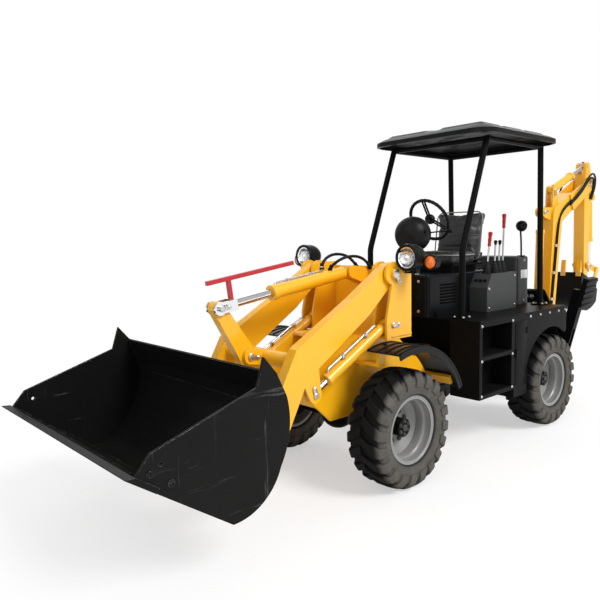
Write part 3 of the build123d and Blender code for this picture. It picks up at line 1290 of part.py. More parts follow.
def guide_links():
    """Twin links that guide the end of the bucket cylinder along the dipper."""
    inside = DIPPER_HALF_WIDTH + SIDE_GAP
    plate = strap(GUIDE_PIN, GUIDE_END, LINK_END_RADIUS, LINK_END_RADIUS)
    links = both_sides(side_plate(plate, (inside, inside + GUIDE_PLATE)))
    end = inside + GUIDE_PLATE + SIDE_GAP
    links += cross_pin(GUIDE_PIN, LINK_PIN_RADIUS, (-end, end))
    outer = inside + 2 * GUIDE_PLATE + SIDE_GAP
    return links + both_sides(cross_pin(GUIDE_END, LINK_PIN_RADIUS, (inside, outer)))


def tip_link():
    """Link from the guide links' end down to the bucket."""
    inside = DIPPER_HALF_WIDTH + GUIDE_PLATE + 2 * SIDE_GAP
    plate = strap(GUIDE_END, DIG_LINK_PIN, LINK_END_RADIUS, LINK_END_RADIUS)
    plate -= disc(GUIDE_END, LINK_PIN_RADIUS + PIN_GAP)
    return pair(side_plate(plate, (inside, inside + GUIDE_PLATE)))


def dig_sheet():
    """Side view of the digging bucket's bent sheet, from the lip round to the neck."""
    edge = Line(DIG_LIP, DIG_TOE)
    edge += TangentArc(DIG_TOE, DIG_HEEL, tangent=Vector(*DIG_TOE) - Vector(*DIG_LIP))
    edge += ThreePointArc(DIG_HEEL, polar(DIG_HEEL, 130, 168), DIG_BACK)
    return edge + Line(DIG_BACK, DIG_NECK)


def dig_bucket():
    """Digging bucket: a bent sheet between two side plates, with hinge ears on its back."""
    edge = dig_sheet()
    inner_y = DIG_HALF_WIDTH - DIG_SHEET
    sheet = make_face(offset(edge, amount=DIG_SHEET, side=Side.RIGHT, closed=True).edges())
    cheek = make_face(edge + Polyline(DIG_NECK, DIG_THROAT, DIG_LIP))
    bucket = side_plate(sheet, (-inner_y, inner_y))
    bucket += both_sides(side_plate(cheek, (inner_y, DIG_HALF_WIDTH)))
    root = outline([DIG_NECK, DIG_BACK, (DIG_BACK[0] + 60, DIG_BACK[1] - 45)])
    ends = disc(DIPPER_END, DIPPER_END_RADIUS).edges() + disc(DIG_LINK_PIN, LINK_END_RADIUS).edges()
    ear = make_hull(ends + root.edges())
    inside = DIPPER_HALF_WIDTH + SIDE_GAP
    bucket += both_sides(side_plate(ear, (inside, inside + DIG_EAR_PLATE)))
    return bucket + cross_pin(DIPPER_END, DIG_PIN_RADIUS, (-inside - DIG_EAR_PLATE, inside + DIG_EAR_PLATE))


def bucket_teeth():
    """Row of wedge teeth on the digging bucket's lip."""
    along = Vector(*DIG_LIP) - Vector(*DIG_TOE)
    lip = (DIG_LIP[0], 0, DIG_LIP[1])
    place = Plane(origin=lip, x_dir=(along.X, 0, along.Y), z_dir=(along.Y, 0, -along.X))
    half = TOOTH_THICKNESS / 2
    tip = TOOTH_TIP / 2
    shank = -TOOTH_SHANK
    point = [(TOOTH_LENGTH, -tip), (TOOTH_LENGTH, tip)]
    wedge = outline([(shank, -half), (0, -half), *point, (0, half), (shank, half)])
    slot = outline([(2 * shank, -DIG_SHEET), (0, -DIG_SHEET), (0, 0), (2 * shank, 0)])
    tooth = extrude(Plane.XZ * (wedge - slot), amount=TOOTH_WIDTH / 2, both=True)
    spread = 2 * (DIG_HALF_WIDTH - DIG_SHEET) - TOOTH_WIDTH
    made = []
    for index in range(TOOTH_COUNT):
        y = spread * (index / (TOOTH_COUNT - 1) - 0.5)
        made += (place * Pos(0, y, 0) * tooth).solids()
    return Compound(made)


def backhoe_cylinder(base, eye, barrel_length, extension):
    """One of the backhoe's three cylinders."""
    return cylinder_pair(
        (base[0], 0, base[1]),
        (eye[0], 0, eye[1]),
        (0, 1, 0),
        (DIG_BARREL_RADIUS, DIG_ROD_RADIUS),
        barrel_length,
        extension,
        DIG_BARREL_RADIUS,
        LINK_PIN_RADIUS,
    )


def stabiliser():
    """Left stabiliser leg with two cheeks round its cylinder's eye, and a ribbed pad."""
    inner = STAND_GAP / 2 - SIDE_GAP
    half = LEG_DEPTH / 2
    lying = (Align.MIN, Align.CENTER, Align.CENTER)
    leg = Box(LEG_LENGTH, LEG_DEPTH, 2 * inner, align=lying)
    leg += Cylinder(half, 2 * inner)
    slot_end = STAB_LEVER + LEG_DEPTH
    leg -= Box(slot_end, 2 * LEG_DEPTH, 2 * (inner - LEG_CHEEK), align=lying)
    leg -= Cylinder(2 * half, 2 * (inner - LEG_CHEEK))
    leg -= Cylinder(LEG_PIN_RADIUS + PIN_GAP, 4 * inner)
    pad = Box(PAD_LENGTH, PAD_THICKNESS, PAD_WIDTH)
    leg += Pos(LEG_LENGTH, -half - PAD_THICKNESS / 2 + 5, 0) * pad
    place = Plane(
        origin=(STAND_X, *LEG_PIVOT),
        x_dir=(0, sin(radians(LEG_LEAN)), cos(radians(LEG_LEAN))),
        z_dir=(1, 0, 0),
    )
    return place * leg


def stabiliser_cylinder():
    """Left stabiliser cylinder."""
    return cylinder_pair(
        (STAND_X, *STAB_BASE),
        (STAND_X, *LEG_EYE),
        (1, 0, 0),
        (STAB_BARREL_RADIUS, STAB_ROD_RADIUS),
        STAB_BARREL_LENGTH,
        STAB_EXTENSION,
        STAB_BARREL_RADIUS * 1.3,
        LINK_PIN_RADIUS,
    )


def steering_cylinder():
    """Steering cylinder between the two frames, on the right."""
    return cylinder_pair(
        (*STEER_BASE, STEER_Z),
        (*STEER_EYE, STEER_Z),
        (0, 0, 1),
        (STEER_BARREL_RADIUS, STEER_ROD_RADIUS),
        STEER_BARREL_LENGTH,
        STEER_EXTENSION,
        STEER_BARREL_RADIUS,
        LINK_PIN_RADIUS,
    )


def wheel_places():
    """Name, x and side of each wheel."""
    return (
        ("front_left", 0, 1),
        ("front_right", 0, -1),
        ("rear_left", REAR_AXLE_X, 1),
        ("rear_right", REAR_AXLE_X, -1),
    )


def machine():
    """Every piece by its node name, before the shift to the footprint's middle."""
    lift_barrel, lift_rod = lift_cylinder()
    tilt_barrel, tilt_rod = tilt_cylinder()
    pieces = {
        "front_frame": front_frame(),
        "front_axle": axle(0),
        "front_fenders": pair(front_fender()),
        "headlamps": pair(headlamp()),
        "lamp_lenses": pair(lamp_lens()),
        "turn_signals": pair(turn_signal()),
        "loader_arms": loader_arms(),
        "rocker": rocker(),
        "bucket_link": bucket_link(),
        "loader_bucket": loader_bucket(),
        "lift_barrels": pair(lift_barrel),
        "lift_rods": pair(lift_rod),
        "tilt_barrel": tilt_barrel,
        "tilt_rod": tilt_rod,
        "level_bar": level_bar(),
        "rear_frame": rear_frame(),
        "rear_axle": axle(REAR_AXLE_X),
        "side_boxes": pair(side_box()),
        "deck": deck(),
        "hood": hood(),
        "lever_console": lever_console(),
        "rear_box": rear_box(),
        "engine_block": engine_block(),
        "seat_frame": seat_frame(),
        "seat_cushion": seat_cushion(),
        "seat_back": seat_back(),
        "steering_column": steering_column(),
        "steering_wheel": steering_wheel(),
        "levers": levers(),
        "canopy_posts": canopy_posts(),
        "canopy_roof": canopy_roof(),
        "swing_post": swing_post(),
        "backhoe_boom": boom(),
        "backhoe_dipper": dipper(),
        "guide_links": guide_links(),
        "tip_link": tip_link(),
        "backhoe_bucket": dig_bucket(),
        "bucket_teeth": bucket_teeth(),
    }
    cylinders = {
        "steering": steering_cylinder(),
        "boom": backhoe_cylinder(BOOM_CYL_BASE, BOOM_CYL_EYE, BOOM_BARREL_LENGTH, BOOM_EXTENSION),
        "dipper": backhoe_cylinder(DIPPER_CYL_BASE, DIPPER_TOP, DIPPER_BARREL_LENGTH, DIPPER_EXTENSION),
        "curl": backhoe_cylinder(DIG_BASE, GUIDE_END, CURL_BARREL_LENGTH, CURL_EXTENSION),
    }
    for name, (barrel, rod) in cylinders.items():
        pieces[f"{name}_barrel"] = barrel
        pieces[f"{name}_rod"] = rod
    leg_set = {"stabiliser": stabiliser()}
    leg_set["stabiliser_barrel"], leg_set["stabiliser_rod"] = stabiliser_cylinder()
    for name, shape in leg_set.items():
        pieces[f"{name}_left"] = shape
        pieces[f"{name}_right"] = mirrored(shape)
    wheel = {"tyre": tyre(), "rim": rim()}
    for name, x, side in wheel_places():
        place = Pos(x, side * WHEEL_OFFSET_Y, AXLE_Z)
        for kind, shape in wheel.items():
            pieces[f"{kind}_{name}"] = place * (shape if side > 0 else mirrored(shape))
    return pieces


def footprint_middle(pieces):
    """The x value halfway along the whole machine."""
    ends = [shape.bounding_box() for shape in pieces.values()]
    return (min(box.min.X for box in ends) + max(box.max.X for box in ends)) / 2


def main():
    pieces = machine()
    middle = footprint_middle(pieces)
    os.makedirs("parts", exist_ok=True)
    for name, shape in pieces.items():
        export_step(Pos(-middle, 0, 0) * shape, f"parts/{name}.step")


if __name__ == "__main__":
    main()
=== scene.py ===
"""Looks of a compact articulated backhoe loader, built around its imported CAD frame."""

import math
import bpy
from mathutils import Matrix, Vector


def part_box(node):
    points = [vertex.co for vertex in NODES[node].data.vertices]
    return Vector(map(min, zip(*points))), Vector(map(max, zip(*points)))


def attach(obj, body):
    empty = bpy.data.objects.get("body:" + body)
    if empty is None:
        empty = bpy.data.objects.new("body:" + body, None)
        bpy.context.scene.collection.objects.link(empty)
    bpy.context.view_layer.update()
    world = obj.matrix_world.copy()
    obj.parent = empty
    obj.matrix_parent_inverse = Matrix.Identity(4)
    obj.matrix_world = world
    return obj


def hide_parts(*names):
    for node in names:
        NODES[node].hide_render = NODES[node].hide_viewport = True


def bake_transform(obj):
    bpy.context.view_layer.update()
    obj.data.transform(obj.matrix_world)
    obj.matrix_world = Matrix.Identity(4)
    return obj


bl_info = {
    "name": "Backhoe Loader Looks",
    "version": (1, 0, 0),
    "blender": (4, 5, 0),
    "location": "3D View > Sidebar > Loader",
    "description": "Finishes, tyres, seat, hoses, lamps and fittings of a compact backhoe loader",
    "category": "Object",
}

import bmesh
import bpy
from bpy.props import FloatProperty, FloatVectorProperty, IntProperty, PointerProperty
from mathutils import Matrix, Vector

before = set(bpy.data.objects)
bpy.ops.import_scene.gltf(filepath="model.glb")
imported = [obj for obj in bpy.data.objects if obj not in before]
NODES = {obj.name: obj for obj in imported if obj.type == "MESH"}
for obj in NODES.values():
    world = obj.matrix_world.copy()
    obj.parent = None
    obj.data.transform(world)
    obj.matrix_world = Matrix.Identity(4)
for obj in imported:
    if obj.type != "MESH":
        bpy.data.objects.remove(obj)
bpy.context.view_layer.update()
MM = 0.001
FRONT_AXLE_X = sum(corner.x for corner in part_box("tyre_front_left")) / 2
WHEELS = ("front_left", "front_right", "rear_left", "rear_right")
SIDES = (1, -1)
SMOOTH_ANGLE = math.radians(38)
BOLT_SINK = 0.002
FINISHES = {}


# Settings


class LoaderColours(bpy.types.PropertyGroup):
    """Colours of the machine's finishes."""

    yellow: FloatVectorProperty(
        name="Yellow paint",
        description="Amber paint of arms, frame and boom",
        subtype="COLOR",
        size=3,
        default=(0.84, 0.415, 0.007),
    )
    black: FloatVectorProperty(
        name="Black paint",
        description="Semi-gloss paint of bucket, body and stabilisers",
        subtype="COLOR",
        size=3,
        default=(0.005, 0.0052, 0.0053),
    )
    grey: FloatVectorProperty(
        name="Grey paint",
        description="Satin paint of the lever console and rear box",
        subtype="COLOR",
        size=3,
        default=(0.042, 0.044, 0.0435),
    )
    silver: FloatVectorProperty(
        name="Rim silver",
        description="Paint of the wheel rims",
        subtype="COLOR",
        size=3,
        default=(0.215, 0.215, 0.21),
    )
    rubber: FloatVectorProperty(
        name="Tyre rubber",
        description="Clean rubber of the tread",
        subtype="COLOR",
        size=3,
        default=(0.0065, 0.0065, 0.007),
    )
    dust: FloatVectorProperty(
        name="Dust",
        description="Dry dust on tyres and steps",
        subtype="COLOR",
        size=3,
        default=(0.16, 0.145, 0.12),
    )
    red: FloatVectorProperty(
        name="Red",
        description="Level bar and lever grips",
        subtype="COLOR",
        size=3,
        default=(0.42, 0.012, 0.02),
    )
    amber: FloatVectorProperty(
        name="Amber lens",
        description="Turn signal lenses",
        subtype="COLOR",
        size=3,
        default=(0.85, 0.16, 0.008),
    )


class LoaderSizes(bpy.types.PropertyGroup):
    """Sizes of the fittings that the looks add."""

    lug_count: IntProperty(
        name="Lugs per side",
        description="Tread lugs on each half of a tyre",
        default=20,
        min=8,
        max=40,
    )
    lug_height: FloatProperty(
        name="Lug height",
        description="Height of a tread lug above the carcass",
        default=0.0195,
        subtype="DISTANCE",
        unit="LENGTH",
    )
    hose_radius: FloatProperty(
        name="Hose radius",
        description="Outer radius of a hydraulic hose",
        default=0.0105,
        subtype="DISTANCE",
        unit="LENGTH",
    )
    pipe_radius: FloatProperty(
        name="Pipe radius",
        description="Outer radius of a steel oil pipe",
        default=0.008,
        subtype="DISTANCE",
        unit="LENGTH",
    )
    edge_radius: FloatProperty(
        name="Edge radius",
        description="Rounding that the finishes show on plate edges",
        default=0.003,
        subtype="DISTANCE",
        unit="LENGTH",
    )


def colours():
    return bpy.context.scene.loader_colours


def sizes():
    return bpy.context.scene.loader_sizes


# Mesh helpers


def at(x, y, z):
    """A point given in millimetres from the middle of the front axle on the ground."""
    return Vector((FRONT_AXLE_X + x * MM, y * MM, z * MM))


def beside(place, side):
    """A point in millimetres on the left, or its mirror image on the right at side -1."""
    x, y, z = place
    return at(x, side * y, z)


def turn_to(direction, up=(0, 0, 1)):
    """Axes whose z lies along a direction, as a 4x4 matrix."""
    z = Vector(direction).normalized()
    guide = Vector(up)
    if abs(z.dot(guide.normalized())) > 0.99:
        guide = Vector((1, 0, 0))
    x = guide.cross(z).normalized()
    return Matrix((x, z.cross(x), z)).transposed().to_4x4()


def soften(bm, edges, width):
    """Rounds off edges in two steps."""
    bmesh.ops.bevel(bm, geom=list(edges), offset=width, segments=2, profile=0.6, affect="EDGES")


def add_block(bm, centre, size, axes=None, bevel=0.0):
    """A box with softened edges."""
    place = Matrix.Translation(centre) @ (axes or Matrix.Identity(4)) @ Matrix.Diagonal((*size, 1))
    made = bmesh.ops.create_cube(bm, size=1, matrix=place)["verts"]
    if bevel:
        soften(bm, {edge for vert in made for edge in vert.link_edges}, bevel)


def add_rod(bm, start, end, radius, sides=20, end_radius=None, bevel=0.0):
    """A round bar or cone between two points."""
    span = Vector(end) - Vector(start)
    place = Matrix.Translation(Vector(start) + span / 2) @ turn_to(span)
    made = bmesh.ops.create_cone(
        bm,
        cap_ends=True,
        segments=sides,
        radius1=radius,
        radius2=radius if end_radius is None else end_radius,
        depth=span.length,
        matrix=place,
    )["verts"]
    if bevel:
        rims = {
            edge
            for vert in made
            for edge in vert.link_edges
            if any(len(face.verts) > 4 for face in edge.link_faces)
        }
        soften(bm, rims, bevel)


def add_bolt(bm, place, axis, size=0.009):
    """A hexagon head on its washer."""
    axis = Vector(axis).normalized()
    place = Vector(place) - axis * BOLT_SINK
    add_rod(bm, place, place + axis * (BOLT_SINK + size * 0.3), size * 1.5, 18)
    add_rod(bm, place, place + axis * (BOLT_SINK + size * 1.1), size, 6, bevel=size * 0.14)


def add_lathe(bm, profile, origin, axis, steps=64, closed=False):
    """A profile of radius and height pairs in millimetres, turned about an axis."""
    place = Matrix.Translation(origin) @ turn_to(axis) @ Matrix.Scale(MM, 4)
    rings = []
    for radius, height in profile:
        if radius < 1e-6:
            rings.append([bm.verts.new(place @ Vector((0, 0, height)))])
            continue
        ring = []
        for k in range(steps):
            turn = math.tau * k / steps
            spot = Vector((radius * math.cos(turn), radius * math.sin(turn), height))
            ring.append(bm.verts.new(place @ spot))
        rings.append(ring)
    pairs = list(zip(rings, rings[1:]))
    if closed:
        pairs.append((rings[-1], rings[0]))
    for low, high in pairs:
        for k in range(steps):
            n = (k + 1) % steps
            corners = [low[k % len(low)], low[n % len(low)], high[n % len(high)], high[k % len(high)]]
            kept = list(dict.fromkeys(corners))
            if len(kept) > 2:
                bm.faces.new(kept)


def add_hose(bm, points, radius, order=4):
    """A round hose along a smooth curve through control points."""
    curve = bpy.data.curves.new("run", "CURVE")
    curve.dimensions = "3D"
    spline = curve.splines.new("NURBS")
    spline.points.add(len(points) - 1)
    for target, point in zip(spline.points, points):
        target.co = (*point, 1)
    spline.order_u = min(order, len(points))
    spline.use_endpoint_u = True
    curve.bevel_depth = radius
    curve.bevel_resolution = 3
    curve.resolution_u = 8
    curve.use_fill_caps = True
    holder = bpy.data.objects.new("run", curve)
    mesh = bpy.data.meshes.new_from_object(holder)
    bm.from_mesh(mesh)
    bpy.data.objects.remove(holder)
    bpy.data.curves.remove(curve)
    bpy.data.meshes.remove(mesh)


def add_plate(bm, outline, origin, across, along, depth, bevel=0.0):
    """A flat plate: an outline in two directions, thickened along their cross product."""
    across = Vector(across)
    along = Vector(along)
    lift = across.cross(along).normalized() * depth
    low = [bm.verts.new(Vector(origin) + across * a + along * b) for a, b in outline]
    high = [bm.verts.new(vert.co + lift) for vert in low]
    count = len(low)
    faces = [bm.faces.new(low[::-1]), bm.faces.new(high)]
    for k in range(count):
        n = (k + 1) % count
        faces.append(bm.faces.new((low[k], low[n], high[n], high[k])))
    if bevel:
        soften(bm, faces[1].edges, bevel)


def slot_outline(length, radius, steps=8):
    """An outline with two round ends, centred on its first end."""
    points = []
    for k in range(steps + 1):
        a = math.pi / 2 + math.pi * k / steps
        points.append((radius * math.cos(a), radius * math.sin(a)))
    for k in range(steps + 1):
        a = -math.pi / 2 + math.pi * k / steps
        points.append((length + radius * math.cos(a), radius * math.sin(a)))
    return points


def put_on(mesh, finish):
    """Gives a mesh one finish alone."""
    mesh.materials.clear()
    mesh.materials.append(FINISHES[finish])


def built_mesh(name, bm, finish, angle):
    """A smooth mesh with one finish, sharp where faces meet at more than an angle."""
    bmesh.ops.recalc_face_normals(bm, faces=bm.faces)
    mesh = bpy.data.meshes.new(name)
    bm.to_mesh(mesh)
    bm.free()
    mesh.shade_smooth()
    mesh.set_sharp_from_angle(angle=angle)
    put_on(mesh, finish)
    return mesh


def linked(name, data):
    """A new object in the scene."""
    made = bpy.data.objects.new(name, data)
    bpy.context.scene.collection.objects.link(made)
    return made


def place_piece(name, bm, finish, body, angle=SMOOTH_ANGLE):
    """Turns a built mesh into a piece that rides on a body, if one is given."""
    piece = linked(name, built_mesh(name, bm, finish, angle))
    if body:
        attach(piece, body)
    return piece


# Finishes


def new_group(name, inputs, outputs):
    """An empty shader node group with float inputs and named outputs."""
    group = bpy.data.node_groups.new(name, "ShaderNodeTree")
    for label, value in inputs.items():
        socket = group.interface.new_socket(label, in_out="INPUT", socket_type="NodeSocketFloat")
        socket.default_value = value
    for label, kind in outputs.items():
        group.interface.new_socket(label, in_out="OUTPUT", socket_type="NodeSocket" + kind)
    return group, group.nodes.new("NodeGroupInput").outputs, group.nodes.new("NodeGroupOutput").inputs


def wire(tree, kind, links=None, **settings):
    """Adds a node, sets its properties and sockets, and links what is given."""
    node = tree.nodes.new("ShaderNode" + kind)
    for key, value in settings.items():
        setattr(node, key, value)
    for key, value in (links or {}).items():
        if isinstance(value, bpy.types.NodeSocket):
            tree.links.new(value, node.inputs[key])
        else:
            node.inputs[key].default_value = value
    return node


def rest_place(tree):
    """Coordinates fixed to the piece as it stands at rest."""
    return wire(tree, "TexCoord").outputs["Object"]


def math_node(tree, operation, first, second=0.0, clamp=False):
    return wire(tree, "Math", {0: first, 1: second}, operation=operation, use_clamp=clamp).outputs[0]


def noise_node(tree, scale, detail=4.0, roughness=0.6, place=None):
    links = {"Vector": place or rest_place(tree), "Scale": scale, "Detail": detail, "Roughness": roughness}
    return wire(tree, "TexNoise", links).outputs["Fac"]


def range_node(tree, value, low, high, to_low=0.0, to_high=1.0):
    links = {"Value": value, "From Min": low, "From Max": high, "To Min": to_low, "To Max": to_high}
    return wire(tree, "MapRange", links, clamp=True).outputs["Result"]


def build_edge_group():
    """Rounded plate edges, and a broken mask of the wear along them."""
    tree, given, result = new_group(
        "rounded_edges", {"Radius": 0.003, "Wear": 0.5}, {"Mask": "Float", "Normal": "Vector"}
    )
    soft = wire(tree, "Bevel", {"Radius": given["Radius"]}, samples=6).outputs["Normal"]
    true = wire(tree, "NewGeometry").outputs["Normal"]
    turn = wire(tree, "VectorMath", {0: soft, 1: true}, operation="DOT_PRODUCT").outputs["Value"]
    edge = range_node(tree, math_node(tree, "SUBTRACT", 1.0, turn), 0.03, 0.22)
    chips = range_node(tree, noise_node(tree, 55.0, 6.0, 0.7), 0.42, 0.62)
    patches = range_node(tree, noise_node(tree, 3.0, 3.0), 0.38, 0.6)
    broken = math_node(tree, "MULTIPLY", math_node(tree, "MULTIPLY", edge, chips), patches)
    tree.links.new(math_node(tree, "MULTIPLY", broken, given["Wear"], True), result["Mask"])
    tree.links.new(soft, result["Normal"])


def build_dust_group():
    """Dry dust that gathers low down and on faces that look up."""
    tree, given, result = new_group("settled_dust", {"Amount": 0.3, "Height": 0.9}, {"Mask": "Float"})
    place = wire(tree, "TexCoord")
    facing = wire(tree, "SeparateXYZ", {0: place.outputs["Normal"]}).outputs["Z"]
    height = wire(tree, "SeparateXYZ", {0: place.outputs["Object"]}).outputs["Z"]
    up = range_node(tree, facing, 0.2, 1.0, 0.25, 1.0)
    low = wire(
        tree,
        "MapRange",
        {"Value": height, "From Min": 0.0, "From Max": given["Height"], "To Min": 1.0, "To Max": 0.25},
    ).outputs["Result"]
    cloud = range_node(tree, noise_node(tree, 7.0, 7.0, 0.65), 0.35, 0.75)
    mask = math_node(tree, "MULTIPLY", math_node(tree, "MULTIPLY", up, low), cloud)
    tree.links.new(math_node(tree, "MULTIPLY", mask, given["Amount"], True), result["Mask"])


def build_skin_group():
    """Slight waviness and tone changes of sprayed paint or moulded sheet."""
    tree, given, result = new_group(
        "sprayed_skin", {"Peel Scale": 260.0, "Tone": 0.08}, {"Tone": "Float", "Height": "Float"}
    )
    peel = noise_node(tree, given["Peel Scale"], 2.0, 0.5)
    broad = noise_node(tree, 2.2, 5.0, 0.6)
    swing = math_node(tree, "MULTIPLY", math_node(tree, "SUBTRACT", broad, 0.5), given["Tone"])
    tree.links.new(math_node(tree, "ADD", 1.0, math_node(tree, "MULTIPLY", swing, 2.0)), result["Tone"])
    tree.links.new(peel, result["Height"])


def build_scratch_group():
    """Long scuffs in two directions, as digging and loading leave."""
    tree, given, result = new_group("scuffs", {"Scale": 9.0, "Amount": 0.4}, {"Mask": "Float"})
    total = None
    for turn, stretch in (((0, 0.6, 0), (0.16, 9.0, 1.6)), ((0.3, 1.1, 0.2), (2.2, 7.0, 0.14))):
        links = {"Vector": rest_place(tree), "Rotation": turn, "Scale": stretch}
        place = wire(tree, "Mapping", links).outputs[0]
        line = range_node(tree, noise_node(tree, given["Scale"], 5.0, 0.75, place), 0.62, 0.72)
        total = line if total is None else math_node(tree, "MAXIMUM", total, line)
    patches = range_node(tree, noise_node(tree, 2.4, 4.0), 0.4, 0.68)
    tree.links.new(
        math_node(tree, "MULTIPLY", math_node(tree, "MULTIPLY", total, patches), given["Amount"], True),
        result["Mask"],
    )


def build_grain_group():
    """Pebbled grain of moulded plastic, vinyl and rubber."""
    tree, given, result = new_group("pebbled_grain", {"Scale": 420.0}, {"Height": "Float"})
    links = {"Vector": rest_place(tree), "Scale": given["Scale"]}
    cells = wire(tree, "TexVoronoi", links, feature="SMOOTH_F1").outputs["Distance"]
    tree.links.new(math_node(tree, "ADD", cells, noise_node(tree, 900.0, 2.0)), result["Height"])


class Finish:
    """One material under construction: a Principled shader and what feeds it."""

    def __init__(self, name, colour, roughness, metallic=0.0, specular=0.5):
        self.material = FINISHES[name] = bpy.data.materials.new("finish_" + name)
        self.material.use_nodes = True
        self.tree = self.material.node_tree
        self.shader = self.tree.nodes["Principled BSDF"]
        self.material.diffuse_color = (*colour, 1)
        self.shader.inputs["Specular IOR Level"].default_value = specular
        self.colour = (*colour, 1)
        self.roughness = roughness
        self.metallic = metallic
        self.normal = None

    def group(self, name, **values):
        node = self.tree.nodes.new("ShaderNodeGroup")
        node.node_tree = bpy.data.node_groups[name]
        for label, value in values.items():
            node.inputs[label.replace("_", " ")].default_value = value
        return node.outputs

    def toned(self, tone):
        links = {0: self.colour[:3] if isinstance(self.colour, tuple) else self.colour, "Scale": tone}
        self.colour = wire(self.tree, "VectorMath", links, operation="SCALE").outputs["Vector"]

    def over(self, mask, colour, roughness=None, metallic=None):
        """Lays another colour over the finish where a mask is high."""
        mix = wire(self.tree, "Mix", {"Factor": mask}, data_type="RGBA")
        if isinstance(self.colour, tuple):
            mix.inputs[6].default_value = self.colour
        else:
            self.tree.links.new(self.colour, mix.inputs[6])
        mix.inputs[7].default_value = (*colour, 1)
        self.colour = mix.outputs[2]
        if roughness is not None:
            self.roughness = self.blended(mask, self.roughness, roughness)
        if metallic is not None:
            self.metallic = self.blended(mask, self.metallic, metallic)

    def blended(self, mask, low, high):
        return wire(self.tree, "Mix", {"Factor": mask, 2: low, 3: high}, data_type="FLOAT").outputs[0]

    def bumped(self, height, distance, strength=1.0):
        links = {"Height": height, "Distance": distance, "Strength": strength}
        if self.normal is not None:
            links["Normal"] = self.normal
        self.normal = wire(self.tree, "Bump", links).outputs["Normal"]

    def done(self, **plain):
        inputs = self.shader.inputs
        fed = (("Base Color", self.colour), ("Roughness", self.roughness), ("Metallic", self.metallic))
        for label, value in fed:
            if isinstance(value, bpy.types.NodeSocket):
                self.tree.links.new(value, inputs[label])
            else:
                inputs[label].default_value = value
        if self.normal is not None:
            self.tree.links.new(self.normal, inputs["Normal"])
        for label, value in plain.items():
            inputs[label.replace("_", " ")].default_value = value
        return self.material


PRIMER = (0.09, 0.075, 0.06)
BARE_STEEL = (0.42, 0.42, 0.41)
WALL_GREY = (0.112, 0.105, 0.094)
WORN_VINYL = (0.075, 0.074, 0.07)
BUCKET_BLACK = (0.006, 0.0065, 0.006)
HOOD_BLACK = (0.005, 0.0055, 0.0065)


def paint(name, colour, roughness, wear=0.5, dust=0.25, scuffs=0.0, tone=0.08, specular=0.5, coat=0.0):
    """Sprayed paint with rounded edges, chips, scuffs and dust."""
    made = Finish(name, colour, roughness, specular=specular)
    skin = made.group("sprayed_skin", Tone=tone)
    made.toned(skin["Tone"])
    if scuffs:
        made.over(made.group("scuffs", Amount=scuffs)["Mask"], BARE_STEEL, 0.42, 0.75)
    edges = made.group("rounded_edges", Radius=sizes().edge_radius, Wear=wear)
    made.over(edges["Mask"], BARE_STEEL if scuffs else PRIMER, 0.5, 0.6 if scuffs else 0.1)
    made.over(made.group("settled_dust", Amount=dust)["Mask"], tuple(colours().dust), 0.8)
    made.normal = edges["Normal"]
    made.bumped(skin["Height"], 0.0003, 0.35)
    plain = {"Coat_Weight": coat, "Coat_Roughness": 0.12} if coat else {}
    return made.done(**plain)


def metal(name, colour, roughness, brushed=0.0):
    """Bare or plated metal with slight tone changes."""
    made = Finish(name, colour, roughness, 1.0)
    skin = made.group("sprayed_skin", Peel_Scale=140.0, Tone=0.12)
    made.toned(skin["Tone"])
    cloud = noise_node(made.tree, 40.0, 5.0)
    made.roughness = range_node(made.tree, cloud, 0.3, 0.7, roughness * 0.7, roughness * 1.35)
    made.normal = made.group("rounded_edges", Radius=0.0012, Wear=0.0)["Normal"]
    if brushed:
        made.bumped(skin["Height"], 0.0002, brushed)
    return made.done()


def moulding(name, colour, roughness, grain=420.0, depth=0.35, dust=0.15, specular=0.12):
    """Moulded plastic or rubber with a pebbled grain."""
    made = Finish(name, colour, roughness, specular=specular)
    made.toned(made.group("sprayed_skin", Tone=0.1)["Tone"])
    made.over(made.group("settled_dust", Amount=dust)["Mask"], tuple(colours().dust), 0.85)
    made.normal = made.group("rounded_edges", Radius=0.002, Wear=0.0)["Normal"]
    made.bumped(made.group("pebbled_grain", Scale=grain)["Height"], 0.0004, depth)
    return made.done()


def tyre_rubber():
    """Black tread, with dusty grey sidewalls and lug flanks."""
    made = Finish("tyre_rubber", tuple(colours().rubber), 0.66, specular=0.1)
    tree = made.tree
    made.toned(made.group("sprayed_skin", Tone=0.2)["Tone"])
    across = wire(tree, "Attribute", attribute_name="sidewall").outputs["Fac"]
    cloud = range_node(tree, noise_node(tree, 14.0, 8.0, 0.7), 0.3, 0.75, 0.55, 1.0)
    made.over(math_node(tree, "MULTIPLY", across, cloud), WALL_GREY, 0.9)
    made.bumped(made.group("pebbled_grain", Scale=300.0)["Height"], 0.0005, 0.4)
    return made.done()


def clear_lens():
    """Clear ribbed lamp glass."""
    made = Finish("lamp_glass", (0.96, 0.97, 0.98), 0.06)
    ribs = wire(made.tree, "TexWave", {"Vector": rest_place(made.tree), "Scale": 42.0}, bands_direction="Y")
    made.bumped(ribs.outputs["Fac"], 0.0015, 0.6)
    return made.done(Transmission_Weight=1.0, IOR=1.45)


def amber_lens():
    """Amber plastic with moulded ribs."""
    made = Finish("amber_lens", tuple(colours().amber), 0.16)
    made.toned(made.group("sprayed_skin", Tone=0.1)["Tone"])
    ribs = wire(made.tree, "TexWave", {"Vector": rest_place(made.tree), "Scale": 60.0}, bands_direction="Z")
    made.bumped(ribs.outputs["Fac"], 0.001, 0.5)
    return made.done(Subsurface_Weight=0.15, Coat_Weight=0.5)


